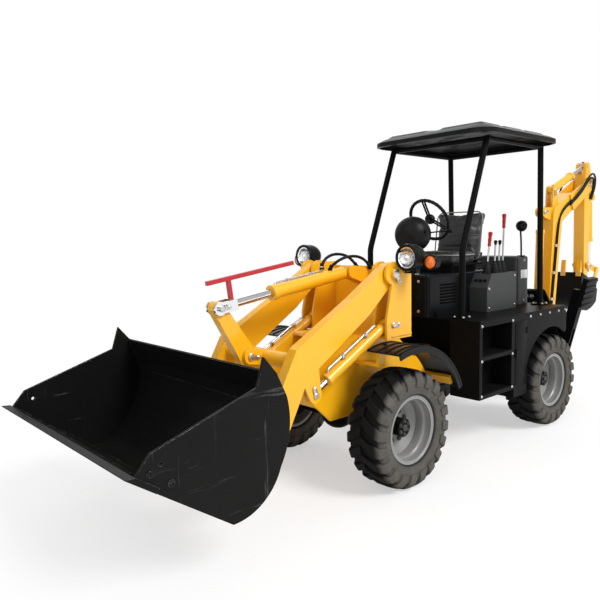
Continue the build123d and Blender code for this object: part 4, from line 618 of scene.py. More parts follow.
def seat_vinyl():
    """Black grained vinyl, paler where it is sat on."""
    made = Finish("seat_vinyl", (0.02, 0.02, 0.021), 0.48, specular=0.5)
    made.toned(made.group("sprayed_skin", Tone=0.15)["Tone"])
    worn = range_node(made.tree, noise_node(made.tree, 5.0, 6.0), 0.45, 0.75, 0.0, 0.35)
    made.over(worn, WORN_VINYL, 0.6)
    made.bumped(made.group("pebbled_grain", Scale=520.0)["Height"], 0.0006, 0.55)
    return made.done()


def make_finishes():
    """Every finish of the machine, by name."""
    build_edge_group()
    build_dust_group()
    build_skin_group()
    build_scratch_group()
    build_grain_group()
    tint = colours()
    yellow, black = tuple(tint.yellow), tuple(tint.black)
    paint("yellow_paint", yellow, 0.3, wear=0.35, dust=0.1, tone=0.05, coat=0.25)
    paint("black_paint", black, 0.36, wear=0.5, dust=0.02, tone=0.25, specular=0.04)
    paint("bucket_paint", BUCKET_BLACK, 0.34, wear=1.0, dust=0.03, scuffs=0.25, tone=0.3, specular=0.08)
    paint("hood_paint", HOOD_BLACK, 0.22, wear=0.15, dust=0.02, tone=0.2, specular=0.08)
    paint("grey_paint", tuple(tint.grey), 0.46, wear=0.3, dust=0.05, tone=0.12, specular=0.2)
    paint("red_paint", tuple(tint.red), 0.34, wear=0.4, dust=0.08)
    paint("rim_silver", tuple(tint.silver), 0.34, wear=0.2, dust=0.3, tone=0.1, coat=0.2)
    paint("iron", (0.035, 0.035, 0.036), 0.62, wear=0.4, dust=0.3, tone=0.3)
    paint("plate_white", (0.62, 0.62, 0.6), 0.5, wear=0.1, dust=0.1)
    metal("chrome", (0.72, 0.73, 0.74), 0.09)
    metal("bright_steel", (0.52, 0.52, 0.5), 0.34, brushed=0.4)
    metal("zinc", (0.62, 0.61, 0.58), 0.3, brushed=0.3)
    metal("mirror_bowl", (0.85, 0.86, 0.88), 0.08)
    moulding("black_plastic", (0.008, 0.008, 0.0085), 0.4, dust=0.06)
    moulding("roof_plastic", (0.007, 0.0075, 0.008), 0.36, grain=300.0, dust=0.05)
    moulding("gloss_plastic", (0.006, 0.006, 0.0065), 0.2, depth=0.06, dust=0.05)
    moulding("hose_rubber", (0.008, 0.008, 0.0085), 0.5, grain=600.0, dust=0.06)
    moulding("soft_rubber", (0.014, 0.014, 0.0145), 0.62, dust=0.2)
    moulding("red_plastic", (0.42, 0.02, 0.02), 0.3, depth=0.15, dust=0.05)
    moulding("piping", (0.26, 0.255, 0.24), 0.5, grain=700.0, dust=0.1)
    tyre_rubber()
    clear_lens()
    amber_lens()
    seat_vinyl()


NODE_FINISHES = {
    "yellow_paint": (
        "front_frame loader_arms rocker bucket_link lift_barrels tilt_barrel swing_post backhoe_boom"
        " backhoe_dipper guide_links tip_link boom_barrel dipper_barrel curl_barrel bucket_teeth"
    ),
    "black_paint": (
        "front_axle rear_axle rear_frame side_boxes deck canopy_posts stabiliser_left stabiliser_right"
        " stabiliser_barrel_left stabiliser_barrel_right steering_barrel seat_frame"
    ),
    "bucket_paint": "loader_bucket backhoe_bucket",
    "hood_paint": "hood",
    "grey_paint": "lever_console rear_box",
    "iron": "engine_block",
    "chrome": (
        "lift_rods tilt_rod boom_rod dipper_rod curl_rod steering_rod"
        " stabiliser_rod_left stabiliser_rod_right"
    ),
    "black_plastic": "headlamps steering_column steering_wheel levers",
    "gloss_plastic": "front_fenders",
    "roof_plastic": "canopy_roof",
    "lamp_glass": "lamp_lenses",
    "amber_lens": "turn_signals",
    "red_paint": "level_bar",
    "seat_vinyl": "seat_cushion seat_back",
    "tyre_rubber": "tyre_front_left tyre_front_right tyre_rear_left tyre_rear_right",
    "rim_silver": "rim_front_left rim_front_right rim_rear_left rim_rear_right",
}


class LOADER_OT_finishes(bpy.types.Operator):
    """Make the finishes and put one on every solid of the frame"""

    bl_idname = "loader.finishes"
    bl_label = "Finishes"

    def execute(self, context):
        make_finishes()
        for finish, names in NODE_FINISHES.items():
            for name in names.split():
                put_on(NODES[name].data, finish)
        return {"FINISHED"}


# Wheels

CARCASS = (
    (0, 366.5), (55, 366), (92, 362), (110, 354), (121, 340), (128, 322), (130.5, 306), (131, 300),
    (128.6, 297), (128.8, 293), (131.4, 290), (130.5, 275), (127, 258), (123.5, 249), (124.5, 244),
    (123, 238), (115, 228), (107, 222),
)
BORE = ((214, 96), (214, -96))
TREAD_STEPS = 96
TREAD_SMOOTH = math.radians(32)
TREAD_RADIUS = 0.372
WALL_START = 0.112
WALL_BLEND = 0.012
LUG_STATIONS = 9
LUG_REACH = 190
LUG_BEND = 0.62
LUG_STEP = 0.34
LUG_TAPER = 0.8
LUG_SECTION = ((-1.14, -4), (-1.0, 0.82), (-0.84, 1.0), (0.84, 1.0), (1.0, 0.82), (1.14, -4))


def carcass_point(reach):
    """Point and outward normal of the tyre's outline at a distance from the tread's middle."""
    travelled = 0.0
    for low, high in zip(CARCASS, CARCASS[1:]):
        run = math.hypot(high[0] - low[0], high[1] - low[1])
        if travelled + run >= reach:
            share = (reach - travelled) / run
            point = Vector((low[0] + share * (high[0] - low[0]), low[1] + share * (high[1] - low[1])))
            return point, Vector((low[1] - high[1], high[0] - low[0])) / run
        travelled += run
    raise ValueError("the tyre's outline is too short")


def add_lug(bm, side, start, pitch, height):
    """One tread lug, from past the middle over the shoulder to the sidewall."""
    rows = []
    for k in range(LUG_STATIONS):
        share = k / (LUG_STATIONS - 1)
        reach = max(LUG_REACH * share, 0.5)
        point, out = carcass_point(reach)
        bend = LUG_BEND * min(share / LUG_BEND, 1.0) + 0.1 * max(share - LUG_BEND, 0) / (1 - LUG_BEND)
        sweep = start + pitch * bend
        step = 0.0 if share < LUG_STEP else min((share - LUG_STEP) / 0.1, 1.0)
        half = pitch * (0.235 + 0.055 * step)
        top = height * (1.0 - 0.55 * max(share - LUG_TAPER, 0) / (1 - LUG_TAPER)) / MM
        row = []
        for offset, lift in LUG_SECTION:
            rise = lift if lift < 0 else lift * top
            spot = point + out * rise
            y = side * max(spot.x, -6.0 if share else -9.0)
            angle = sweep + half * offset
            row.append(bm.verts.new((spot.y * MM * math.sin(angle), y * MM, spot.y * MM * math.cos(angle))))
        rows.append(row)
    for low, high in zip(rows, rows[1:]):
        for k in range(len(LUG_SECTION) - 1):
            bm.faces.new((low[k], low[k + 1], high[k + 1], high[k]))
    bm.faces.new(rows[0])
    bm.faces.new(rows[-1][::-1])


def tyre_mesh(count, height):
    """Carcass with chevron lugs, its axis along y, its middle at the origin."""
    bm = bmesh.new()
    outline = [(r, y) for y, r in CARCASS]
    profile = outline + list(BORE) + [(r, -y) for r, y in outline[:0:-1]]
    add_lathe(bm, profile, (0, 0, 0), (0, 1, 0), TREAD_STEPS, closed=True)
    pitch = math.tau / count
    for side in SIDES:
        for k in range(count):
            add_lug(bm, side, pitch * (k + (0.5 if side < 0 else 0.0)), pitch, height)
    mesh = built_mesh("tyre", bm, "tyre_rubber", TREAD_SMOOTH)
    wall = mesh.attributes.new("sidewall", "FLOAT", "POINT")
    for vert, value in zip(mesh.vertices, wall.data):
        radius = math.hypot(vert.co.x, vert.co.z)
        out = min(max((abs(vert.co.y) - WALL_START) / WALL_BLEND, 0), 1)
        value.value = out * (1.0 if radius < TREAD_RADIUS else 0.55)
    return mesh


class LOADER_OT_tyres(bpy.types.Operator):
    """Chevron tyres in place of the plain ones"""

    bl_idname = "loader.tyres"
    bl_label = "Tyres"

    def execute(self, context):
        mesh = tyre_mesh(sizes().lug_count, sizes().lug_height)
        for name in WHEELS:
            low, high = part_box("tyre_" + name)
            tyre = linked("lugged_tyre_" + name, mesh)
            tyre.location = (low + high) / 2
            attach(tyre, "wheel_" + name)
            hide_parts("tyre_" + name)
        return {"FINISHED"}


RIM_PROFILE = (
    (221, 97), (225, 101), (225.5, 106), (221, 109), (214, 108), (208, 102), (203, 93), (199, 80),
    (198, 62), (195, 56), (187, 51), (184, 45), (183, 18), (181, -4), (190, -6), (201, 0), (201, 96),
)
VALVE = ((20, 176), (62, 182))
VALVE_RADIUS = 0.004
DISC_FACE = -38
HUB_FACE = 39.7
WHEEL_NUTS = (8, 98, DISC_FACE, 0.013)
HUB_BOLTS = (6, 43, HUB_FACE, 0.009)
HUB_CAP = ((0, 15), (16, 14), (22, 9), (23, 0), (23, -3), (0, -3))


class LOADER_OT_rims(bpy.types.Operator):
    """Stepped rim wells, wheel nuts, hub bolts and valves"""

    bl_idname = "loader.rims"
    bl_label = "Rims"

    def execute(self, context):
        for name in WHEELS:
            low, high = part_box("rim_" + name)
            centre = (low + high) / 2
            side = 1 if centre.y > 0 else -1
            out = Vector((0, side, 0))
            well = bmesh.new()
            add_lathe(well, RIM_PROFILE, centre, out, 96, closed=True)
            foot, tip = (centre + out * y * MM + Vector((0, 0, z * MM)) for y, z in VALVE)
            add_rod(well, foot, tip, VALVE_RADIUS)
            place_piece("rim_well_" + name, well, "rim_silver", "wheel_" + name)
            nuts = bmesh.new()
            for count, circle, face, size in (WHEEL_NUTS, HUB_BOLTS):
                for k in range(count):
                    angle = math.tau * (k + 0.5) / count
                    ring = Vector((math.cos(angle), 0, math.sin(angle))) * circle * MM
                    add_bolt(nuts, centre + ring + out * face * MM, out, size)
            add_lathe(nuts, HUB_CAP, centre + out * HUB_FACE * MM, out, 32)
            place_piece("wheel_nuts_" + name, nuts, "iron", "wheel_" + name)
        return {"FINISHED"}


# Loader bucket

BUCKET_HEEL = (1454, 274)
BUCKET_TILT = math.radians(34.7)
BUCKET_HALF_WIDTH = 775
WEAR_STRIP = (0.46, 0.075, 0.012)
LINER_HALF_WIDTH = 758
LINER_SEAT = 6
LINER_FACE = (
    (170, 12.6), (60, 14), (38, 23), (16, 42), (-12, 70), (-34, 100), (-43, 128), (-48, 155), (-56, 200),
    (-61, 250), (-63.5, 290), (-64, 330), (-57, 380), (-44, 430), (-36, 460), (-25, 500), (-6, 540),
    (22, 580),
)
HEEL_ARC = ((207.9, 256.1), 304.0)
BACK_ARC = ((344.0, 313.5), 430.5)


def on_bucket(x, y, z):
    """A point given in the bucket's own level frame, at its heel."""
    c, s = math.cos(BUCKET_TILT), math.sin(BUCKET_TILT)
    return at(BUCKET_HEEL[0] + c * x - s * z, y, BUCKET_HEEL[1] + s * x + c * z)


class LOADER_OT_bucket(bpy.types.Operator):
    """Bolted edge, wear strips and liner of the loader bucket"""

    bl_idname = "loader.bucket"
    bl_label = "Loader bucket"

    def execute(self, context):
        c, s = math.cos(BUCKET_TILT), math.sin(BUCKET_TILT)
        along, up = Vector((c, 0, s)), Vector((-s, 0, c))
        axes = Matrix((along, Vector((0, 1, 0)), up)).transposed().to_4x4()
        edge = bmesh.new()
        for y in range(-640, 641, 160):
            add_rod(edge, on_bucket(575, y, 24), on_bucket(575, y, 29.5), 0.017, 24, bevel=0.002)
        for y in (-500, -170, 170, 500):
            add_block(edge, on_bucket(255, y, -6), WEAR_STRIP, axes, 0.003)
        for side in SIDES:
            for x in (590, 470):
                add_bolt(edge, on_bucket(x, side * BUCKET_HALF_WIDTH, 62), (0, side, 0), 0.012)
        place_piece("bucket_edge_bolts", edge, "bucket_paint", "loader_bucket")
        liner = bmesh.new()
        outline = list(LINER_FACE) + [self.seat_point(*point) for point in reversed(LINER_FACE)]
        outline = [(a * MM, b * MM) for a, b in outline]
        add_plate(liner, outline, on_bucket(0, LINER_HALF_WIDTH, 0), along, up, 2 * LINER_HALF_WIDTH * MM)
        place_piece("bucket_liner", liner, "bucket_paint", "loader_bucket")
        return {"FINISHED"}

    def seat_point(self, x, z):
        """The point in the middle of the bucket's sheet that backs a point of the liner."""
        if x > 40 and z < 20:
            return x, LINER_SEAT
        centre, radius = HEEL_ARC if z < 334 else BACK_ARC
        way = Vector((x - centre[0], z - centre[1])).normalized() * (radius - LINER_SEAT)
        return centre[0] + way.x, centre[1] + way.y


# Canopy roof

ROOF_CORNER = 0.15
ROOF_EDGE = 0.04
ROOF_SHEET = 0.006
ROOF_GRID = 84
ROOF_SMOOTH = math.radians(60)
PAD_RISE = 0.011
PAD_SLOPE = 0.035
PAD_ROWS = ((-0.5, -0.19), (-0.15, 0.15), (0.19, 0.5))
PAD_COLUMNS = ((-0.47, -0.06), (0.06, 0.47))


def soft_step(value, low, high):
    """A smooth rise from 0 to 1 between two values."""
    share = min(max((value - low) / (high - low), 0.0), 1.0)
    return share * share * (3 - 2 * share)


def raised(value, low, high):
    """One inside a pad's span, and a slope down to 0 at both its ends."""
    return soft_step(value, low, low + PAD_SLOPE) - soft_step(value, high - PAD_SLOPE, high)


def roof_height(x, y, half_x, half_y, rise):
    """Height of the roof's skin above its edge: a dome with moulded pads and grooves."""
    corner = ROOF_CORNER
    dx, dy = half_x - abs(x), half_y - abs(y)
    inset = min(dx, dy)
    if dx < corner and dy < corner:
        inset = corner - math.hypot(corner - dx, corner - dy)
    inset = max(inset, 0.0)
    dome = rise * (0.62 * soft_step(inset, -0.06, 0.16) + 0.38 * soft_step(inset, 0.06, 0.42))
    dome -= rise * 0.62 * soft_step(0.0, -0.06, 0.16) * (1 - soft_step(inset, 0.0, 0.05))
    pads = 0.0
    for row in PAD_ROWS:
        for column in PAD_COLUMNS:
            pads = max(pads, raised(x, *row) * raised(y, *column))
    return dome + PAD_RISE * pads


class LOADER_OT_roof(bpy.types.Operator):
    """Moulded canopy roof with raised pads and a rolled edge"""

    bl_idname = "loader.roof"
    bl_label = "Canopy roof"

    def execute(self, context):
        low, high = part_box("canopy_roof")
        middle, half = (low + high) / 2, (high - low) / 2
        rise = high.z - low.z - ROOF_EDGE - PAD_RISE
        bm = bmesh.new()
        grid = {}
        for i in range(ROOF_GRID + 1):
            for j in range(ROOF_GRID + 1):
                u, v = 2 * i / ROOF_GRID - 1, 2 * j / ROOF_GRID - 1
                x, y = self.rounded(u, v, half.x, half.y)
                z = low.z + ROOF_EDGE + roof_height(x, y, half.x, half.y, rise)
                grid[i, j] = bm.verts.new((middle.x + x, middle.y + y, z))
        for i in range(ROOF_GRID):
            for j in range(ROOF_GRID):
                bm.faces.new((grid[i, j], grid[i + 1, j], grid[i + 1, j + 1], grid[i, j + 1]))
        for vert in self.extruded_rim(bm):
            vert.co.z = low.z + 0.006
            vert.co.x += (vert.co.x - middle.x) * 0.004
        for vert in self.extruded_rim(bm):
            vert.co.x += (middle.x - vert.co.x) * 0.03
            vert.co.y += (middle.y - vert.co.y) * 0.03
            vert.co.z = low.z + 0.001
        bmesh.ops.recalc_face_normals(bm, faces=bm.faces)
        bmesh.ops.solidify(bm, geom=bm.faces[:], thickness=ROOF_SHEET)
        roof = place_piece("moulded_roof", bm, "roof_plastic", "rear_frame", ROOF_SMOOTH)
        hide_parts("canopy_roof")
        return {"FINISHED"}

    def extruded_rim(self, bm):
        """The new points, after the open rim is extruded once."""
        rim = [edge for edge in bm.edges if edge.is_boundary]
        made = bmesh.ops.extrude_edge_only(bm, edges=rim)["geom"]
        return [item for item in made if isinstance(item, bmesh.types.BMVert)]

    def rounded(self, u, v, half_x, half_y):
        """Moves a point of the unit square into a rectangle with round corners."""
        x, y = u * half_x, v * half_y
        reach = max(abs(u), abs(v))
        corner = ROOF_CORNER * reach
        inner_x, inner_y = half_x * reach - corner, half_y * reach - corner
        over_x, over_y = abs(x) - inner_x, abs(y) - inner_y
        if over_x > 0 and over_y > 0 and corner > 0:
            angle = math.atan2(over_y, over_x)
            x = math.copysign(inner_x + corner * math.cos(angle), x)
            y = math.copysign(inner_y + corner * math.sin(angle), y)
        return x, y


# Front mudguards

AXLE_HEIGHT = 386
FENDER_ANGLES = (72.6, 157.4)
FENDER_STEPS = 24
FENDER_RIBS = (
    (442, 540, 0.008), (520, 541, 0.0065), (585, 541, 0.0065), (650, 541, 0.0065), (693, 538, 0.011),
)


def round_axle(radius, y, angle):
    """A point at an angle round the front axle."""
    return at(radius * math.cos(angle), y, AXLE_HEIGHT + radius * math.sin(angle))


class LOADER_OT_fenders(bpy.types.Operator):
    """Rolled ribs and edge beads of the front mudguards"""

    bl_idname = "loader.fenders"
    bl_label = "Mudguards"

    def execute(self, context):
        start, end = FENDER_ANGLES
        bm = bmesh.new()
        for side in SIDES:
            for y, radius, size in FENDER_RIBS:
                path = []
                for k in range(FENDER_STEPS + 1):
                    angle = math.radians(start + (end - start) * k / FENDER_STEPS)
                    path.append(round_axle(radius, side * y, angle))
                add_hose(bm, path, size)
            for angle in (86, 112, 140):
                turn = math.radians(angle)
                add_bolt(bm, round_axle(542, side * 470, turn), (math.cos(turn), 0, math.sin(turn)), 0.008)
        place_piece("mudguard_ribs", bm, "gloss_plastic", "front_frame")
        return {"FINISHED"}


# Operator's seat

SEAT_SHRINK = 0.965
SEAT_VOXEL = 0.009
SEAT_FRAMES = 16
SEAT_PRESSURE = 4.0
SEAM_DEPTH = 0.008
SEAM_WIDTH = 0.011
PIPING_RADIUS = 0.0055


def swollen_pad(node, name):
    """A copy of a pad's solid, shrunk a little and blown up as stuffed vinyl."""
    pad = linked(name, NODES[node].data.copy())
    low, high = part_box(node)
    middle = (low + high) / 2
    for vert in pad.data.vertices:
        vert.co = middle + (vert.co - middle) * SEAT_SHRINK
    remesh = pad.modifiers.new("even", "REMESH")
    remesh.mode = "VOXEL"
    remesh.voxel_size = SEAT_VOXEL
    cloth = pad.modifiers.new("stuffing", "CLOTH")
    cloth.settings.use_pressure = True
    cloth.settings.uniform_pressure_force = SEAT_PRESSURE
    cloth.settings.effector_weights.gravity = 0.0
    cloth.settings.quality = 4
    for number in range(1, SEAT_FRAMES + 1):
        bpy.context.scene.frame_set(number)
    graph = bpy.context.evaluated_depsgraph_get()
    shaped = bpy.data.meshes.new_from_object(pad.evaluated_get(graph))
    bpy.context.scene.frame_set(1)
    pad.modifiers.clear()
    pad.data = shaped
    for vert in pad.data.vertices:
        for axis in range(3):
            vert.co[axis] = min(max(vert.co[axis], low[axis] - 0.004), high[axis] + 0.012)
    return pad, low, high


def sew_channels(pad, along, lines, facing):
    """Presses sewn channels into the faces of a pad that look one way."""
    for vert in pad.data.vertices:
        if vert.normal.dot(facing) < 0.35:
            continue
        nearest = min(abs(vert.co[along] - line) for line in lines)
        vert.co -= facing * SEAM_DEPTH * math.exp(-((nearest / SEAM_WIDTH) ** 2))


class LOADER_OT_seat(bpy.types.Operator):
    """Stuffed seat cushion and backrest with piping"""

    bl_idname = "loader.seat"
    bl_label = "Seat"

    def execute(self, context):
        cushion, low, high = swollen_pad("seat_cushion", "vinyl_cushion")
        lines = [low.x + (high.x - low.x) * share for share in (0.3, 0.52, 0.74)]
        sew_channels(cushion, 0, lines, Vector((0, 0, 1)))
        back, back_low, back_high = swollen_pad("seat_back", "vinyl_backrest")
        rows = [back_low.z + (back_high.z - back_low.z) * share for share in (0.3, 0.5, 0.7)]
        sew_channels(back, 2, rows, Vector((0.98, 0, 0.14)))
        for pad, node in ((cushion, "seat_cushion"), (back, "seat_back")):
            put_on(pad.data, "seat_vinyl")
            pad.data.shade_smooth()
            smooth = pad.modifiers.new("round", "SUBSURF")
            smooth.levels = smooth.render_levels = 1
            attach(pad, "rear_frame")
            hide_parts(node)
        trim = bmesh.new()
        span, width = (low.x + 0.012, high.x - 0.006), (low.y + 0.008, high.y - 0.008)
        self.pipe_loop(trim, span, width, lambda x: high.z - 0.018, 0)
        lean = (back_high.x - back_low.x - 0.085) / (back_high.z - back_low.z)
        span, width = (back_low.z + 0.02, back_high.z - 0.008), (low.y + 0.006, high.y - 0.006)
        self.pipe_loop(trim, span, width, lambda z: back_high.x - 0.014 - lean * (z - back_low.z), 2)
        place_piece("seat_piping", trim, "piping", "rear_frame")
        return {"FINISHED"}

    def pipe_loop(self, bm, span, width, depth, along):
        """A ring of piping round a pad, laid across y and one other axis."""
        corners = [(span[a], width[b]) for a, b in ((0, 0), (0, 1), (1, 1), (1, 0))]
        points = []
        for k, (a, y) in enumerate(corners):
            after = corners[(k + 1) % 4]
            for share in (0.08, 0.2, 0.5, 0.8, 0.92):
                points.append((a + (after[0] - a) * share, y + (after[1] - y) * share))
        points.append(points[0])
        if along == 0:
            path = [Vector((a, y, depth(a))) for a, y in points]
        else:
            path = [Vector((depth(a), y, a)) for a, y in points]
        add_hose(bm, path, PIPING_RADIUS, 3)


# Steering wheel and dash

WHEEL_CENTRE = (-1085, 0, 1745)
DASH_CENTRE = (-870, 0, 1630)
WHEEL_RING = 0.175
WHEEL_GRIP = 0.0145
WHEEL_HUB = ((0, 44), (20, 43), (33, 37), (41, 22), (42, 4), (38, -4), (0, -4))
SPOKE = ((0.02, 0.012), (0.08, 0.006), (0.12, 0), (WHEEL_RING, 0))
SPOKE_RADIUS = 0.0075
GAUGE_RING = ((30, 0), (34, 0), (35, 6), (32, 9), (29, 6))
GAUGE_LIFT = 0.104
GAUGE_Y = 0.055
STALK = ((-0.11, 0.07, 0.01), (-0.15, 0.13, 0.02), (-0.16, 0.21, 0.02))


class LOADER_OT_steering(bpy.types.Operator):
    """Steering wheel with a ribbed grip, column stalk and dash gauge"""

    bl_idname = "loader.steering"
    bl_label = "Steering"

    def execute(self, context):
        centre = at(*WHEEL_CENTRE)
        axis = (centre - at(*DASH_CENTRE)).normalized()
        place = Matrix.Translation(centre) @ turn_to(axis)
        bm = bmesh.new()
        rings = []
        steps, sides = 120, 14
        for k in range(steps):
            turn = math.tau * k / steps
            grip = WHEEL_GRIP * (0.94 + 0.06 * math.cos(turn * 30))
            ring = []
            for j in range(sides):
                around = math.tau * j / sides
                reach = WHEEL_RING + grip * math.cos(around)
                spot = Vector((reach * math.cos(turn), reach * math.sin(turn), grip * math.sin(around)))
                ring.append(bm.verts.new(place @ spot))
            rings.append(ring)
        for k in range(steps):
            here, after = rings[k], rings[(k + 1) % steps]
            for j in range(sides):
                bm.faces.new((here[j], after[j], after[(j + 1) % sides], here[(j + 1) % sides]))
        for angle in (90, 210, 330):
            turn = math.radians(angle)
            reach = Vector((math.cos(turn), math.sin(turn), 0))
            path = [reach * out + Vector((0, 0, rise)) for out, rise in SPOKE]
            for offset in (-0.011, 0.011):
                across = Vector((-reach.y, reach.x, 0)) * offset
                add_hose(bm, [place @ (spot + across) for spot in path], SPOKE_RADIUS)
        add_lathe(bm, WHEEL_HUB, centre, axis, 40)
        wheel = place_piece("grip_wheel", bm, "black_plastic", "rear_frame")
        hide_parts("steering_wheel")
        self.dash(axis)
        return {"FINISHED"}

    def dash(self, axis):
        """Gauges, stalk and key switch on the dash pod."""
        pod = at(*DASH_CENTRE)
        bezel, faces, needles = (bmesh.new() for _ in range(3))
        for side in reversed(SIDES):
            gauge = pod + axis * GAUGE_LIFT + Vector((0, side * GAUGE_Y, 0))
            add_lathe(bezel, GAUGE_RING, gauge, axis, 40, closed=True)
            dial = gauge + axis * 0.004
            add_rod(faces, gauge + axis * 0.003, dial, 0.03, 32)
            self.add_dial(needles, dial, axis)
        stalk = [pod + Vector(point) for point in STALK]
        add_hose(bezel, stalk, 0.006, 3)
        near, far = stalk[-1] - Vector((0, 0.012, 0)), stalk[-1] + Vector((-0.002, 0.05, 0))
        add_rod(bezel, near, far, 0.011, 16, 0.013, 0.003)
        key = pod + Vector((0.02, 0.128, 0.02))
        add_rod(bezel, key, key + Vector((0, 0.022, 0)), 0.014, 20, bevel=0.002)
        place_piece("dash_fittings", bezel, "gloss_plastic", "rear_frame")
        place_piece("gauge_faces", faces, "plate_white", "rear_frame")
        place_piece("gauge_marks", needles, "black_plastic", "rear_frame")

    def add_dial(self, bm, dial, axis):
        """A needle over the face of a gauge, and the marks round it."""
        top = axis.cross(Vector((0, 1, 0))).normalized()
        needle = dial + axis * 0.001
        add_rod(bm, needle, needle + top * 0.02 + Vector((0, 0.012, 0)), 0.0012, 8, 0.0005)
        for angle in range(-120, 121, 30):
            turn = math.radians(angle)
            mark = top * math.cos(turn) + Vector((0, 1, 0)) * math.sin(turn)
            add_rod(bm, dial + mark * 0.021, dial + mark * 0.027, 0.0009, 6)


# Levers

CONSOLE_TOP = 1300
LEVER_Y = 311
TALL_LEVERS = ((-1440, -1500, 1640), (-1690, -1712, 1790))
SHORT_LEVERS = ((-1560, -1580, 1570), (-1625, -1648, 1570))
LEVER_RADIUS = 0.0075
BOOT = (
    (36, 0), (37, 4), (31, 10), (35, 16), (28, 24), (32, 31), (25, 40), (28, 48), (20, 60), (22, 68),
    (13, 82), (12, 96), (9, 98), (0, 98),
)
GRIP = (
    (8, 0), (13, 4), (14, 14), (12.5, 30), (15, 55), (13.5, 78), (17, 100), (18, 112), (14, 120), (6, 123),
    (0, 123),
)
KNOB = ((6, 0), (9, 4), (12, 14), (15, 26), (14, 36), (8, 42), (0, 43))


class LOADER_OT_levers(bpy.types.Operator):
    """Control levers with rubber boots and grips"""

    bl_idname = "loader.levers"
    bl_label = "Levers"

    def execute(self, context):
        rods, boots, grips, knobs = (bmesh.new() for _ in range(4))
        for levers, profile, target in ((TALL_LEVERS, GRIP, grips), (SHORT_LEVERS, KNOB, knobs)):
            for foot_x, top_x, top_z in levers:
                foot, top = at(foot_x, LEVER_Y, CONSOLE_TOP), at(top_x, LEVER_Y, top_z)
                way = (top - foot).normalized()
                reach = profile[-1][1] * MM
                add_rod(rods, foot + way * 0.05, top - way * (reach - 0.01), LEVER_RADIUS, 16)
                add_lathe(boots, BOOT, foot, way, 28)
                add_lathe(target, profile, top - way * reach, way, 28)
        levers = place_piece("lever_rods", rods, "chrome", "rear_frame")
        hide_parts("levers")
        place_piece("lever_boots", boots, "soft_rubber", "rear_frame")
        place_piece("lever_grips", grips, "red_plastic", "rear_frame")
        place_piece("lever_knobs", knobs, "gloss_plastic", "rear_frame")
        return {"FINISHED"}


# Lamps

LAMP_CENTRE = (-160, 500, 1478)
LAMP_BEZEL = ((71, -6), (90, -10), (92, 2), (89, 14), (80, 19), (73, 17), (71, 4))
LAMP_BOWL = (
    (70, 9), (60, 4), (52, 3.4), (50, 2.2), (36, 1.6), (34, 1), (20, 0.8), (18, 6), (12, 9), (0, 10),
    (0, 0.3), (70, 0.3),
)
SIGNAL_CENTRE = (-225, 636, 1448)
SIGNAL_RING = ((43, -8), (50, -12), (51, 2), (47, 7), (42, 4))
WORK_LAMP_HEAD = (-2060, 282, 1686)
WORK_LAMP_AIM = (-1, 0, -0.12)
WORK_LAMP_SHELL = ((0, -46), (18, -44), (40, -30), (48, -8), (49, 10), (45, 13), (43, 8), (0, 8))
WORK_LAMP_LENS = ((0, 14), (30, 13), (43, 9.5), (43, 8.5), (0, 8.5))
WORK_LAMP_STALK = ((-2060, 282, 1419), (-2060, 282, 1520), (-2052, 282, 1600), (-2040, 282, 1650))
WORK_LAMP_FOOT = (-2060, 282, 1423)


class LOADER_OT_lamps(bpy.types.Operator):
    """Bezels, reflector bowls and the rear work lamp"""

    bl_idname = "loader.lamps"
    bl_label = "Lamps"

    def execute(self, context):
        ahead = Vector((1, 0, 0))
        bezels, bowls = bmesh.new(), bmesh.new()
        for side in SIDES:
            lamp = beside(LAMP_CENTRE, side)
            add_lathe(bezels, LAMP_BEZEL, lamp, ahead, 56, closed=True)
            add_lathe(bowls, LAMP_BOWL, lamp, ahead, 24)
            add_lathe(bezels, SIGNAL_RING, beside(SIGNAL_CENTRE, side), ahead, 40, closed=True)
        place_piece("lamp_bezels", bezels, "gloss_plastic", "front_frame")
        place_piece("lamp_bowls", bowls, "mirror_bowl", "front_frame")
        self.work_lamp()
        return {"FINISHED"}

    def work_lamp(self):
        """Small lamp on a stalk behind the levers, aimed at the digging arm."""
        lamp, glass = bmesh.new(), bmesh.new()
        head = at(*WORK_LAMP_HEAD)
        add_lathe(lamp, WORK_LAMP_SHELL, head, WORK_LAMP_AIM, 36)
        add_hose(lamp, [at(*point) for point in WORK_LAMP_STALK], 0.008)
        add_block(lamp, at(*WORK_LAMP_FOOT), (0.05, 0.05, 0.008), bevel=0.002)
        place_piece("work_lamp", lamp, "gloss_plastic", "rear_frame")
        add_lathe(glass, WORK_LAMP_LENS, head, WORK_LAMP_AIM, 36)
        place_piece("work_lamp_glass", glass, "lamp_glass", "rear_frame")


# Pins and their lock plates

PIN_ENDS = (
    ("front_frame", (-120, 420, 1375), 20, 33, (-0.5, -0.87)),
    ("front_frame", (-110, 420, 1030), 6, 20, (-1, 0)),
    ("loader_arms", (585, 390, 672), 6, 20, (0.3, 0.95)),
    ("loader_bucket", (1085, 416, 420), 0, 24, (0.7, 0.5)),
    ("loader_arms", (812, 56, 900), 6, 24, (-0.98, -0.15)),
    ("tilt_rod", (1019, 50, 1216), 14, 20, (-0.99, 0.14)),
    ("bucket_link", (746, 50, 577), 6, 20, (1, 0)),
    ("swing_post", (-3095, 92, 640), 6, 22, (1, 0.1)),
    ("backhoe_boom", (-3940, 84, 2150), 6, 22, (0.9, -0.43)),
    ("backhoe_boom", (-2975, 40, 1830), 6, 20, (-0.9, 0.1)),
    ("backhoe_boom", (-3195, 40, 2060), 6, 20, (0.1, -0.9)),
    ("backhoe_bucket", (-3926, 80, 1060), 0, 22, (0.4, -0.9)),
    ("tip_link", (-3935, 80, 1251), 6, 20, (-0.96, -0.27)),
)
STAND_FACES = ((-2530, 1), (-2670, -1))
STAND_PINS = ((420, 470, 22), (-420, 470, 22), (150, 1015, 20), (-150, 1015, 20))
LOCK_PLATE_HALF_WIDTH = 0.014


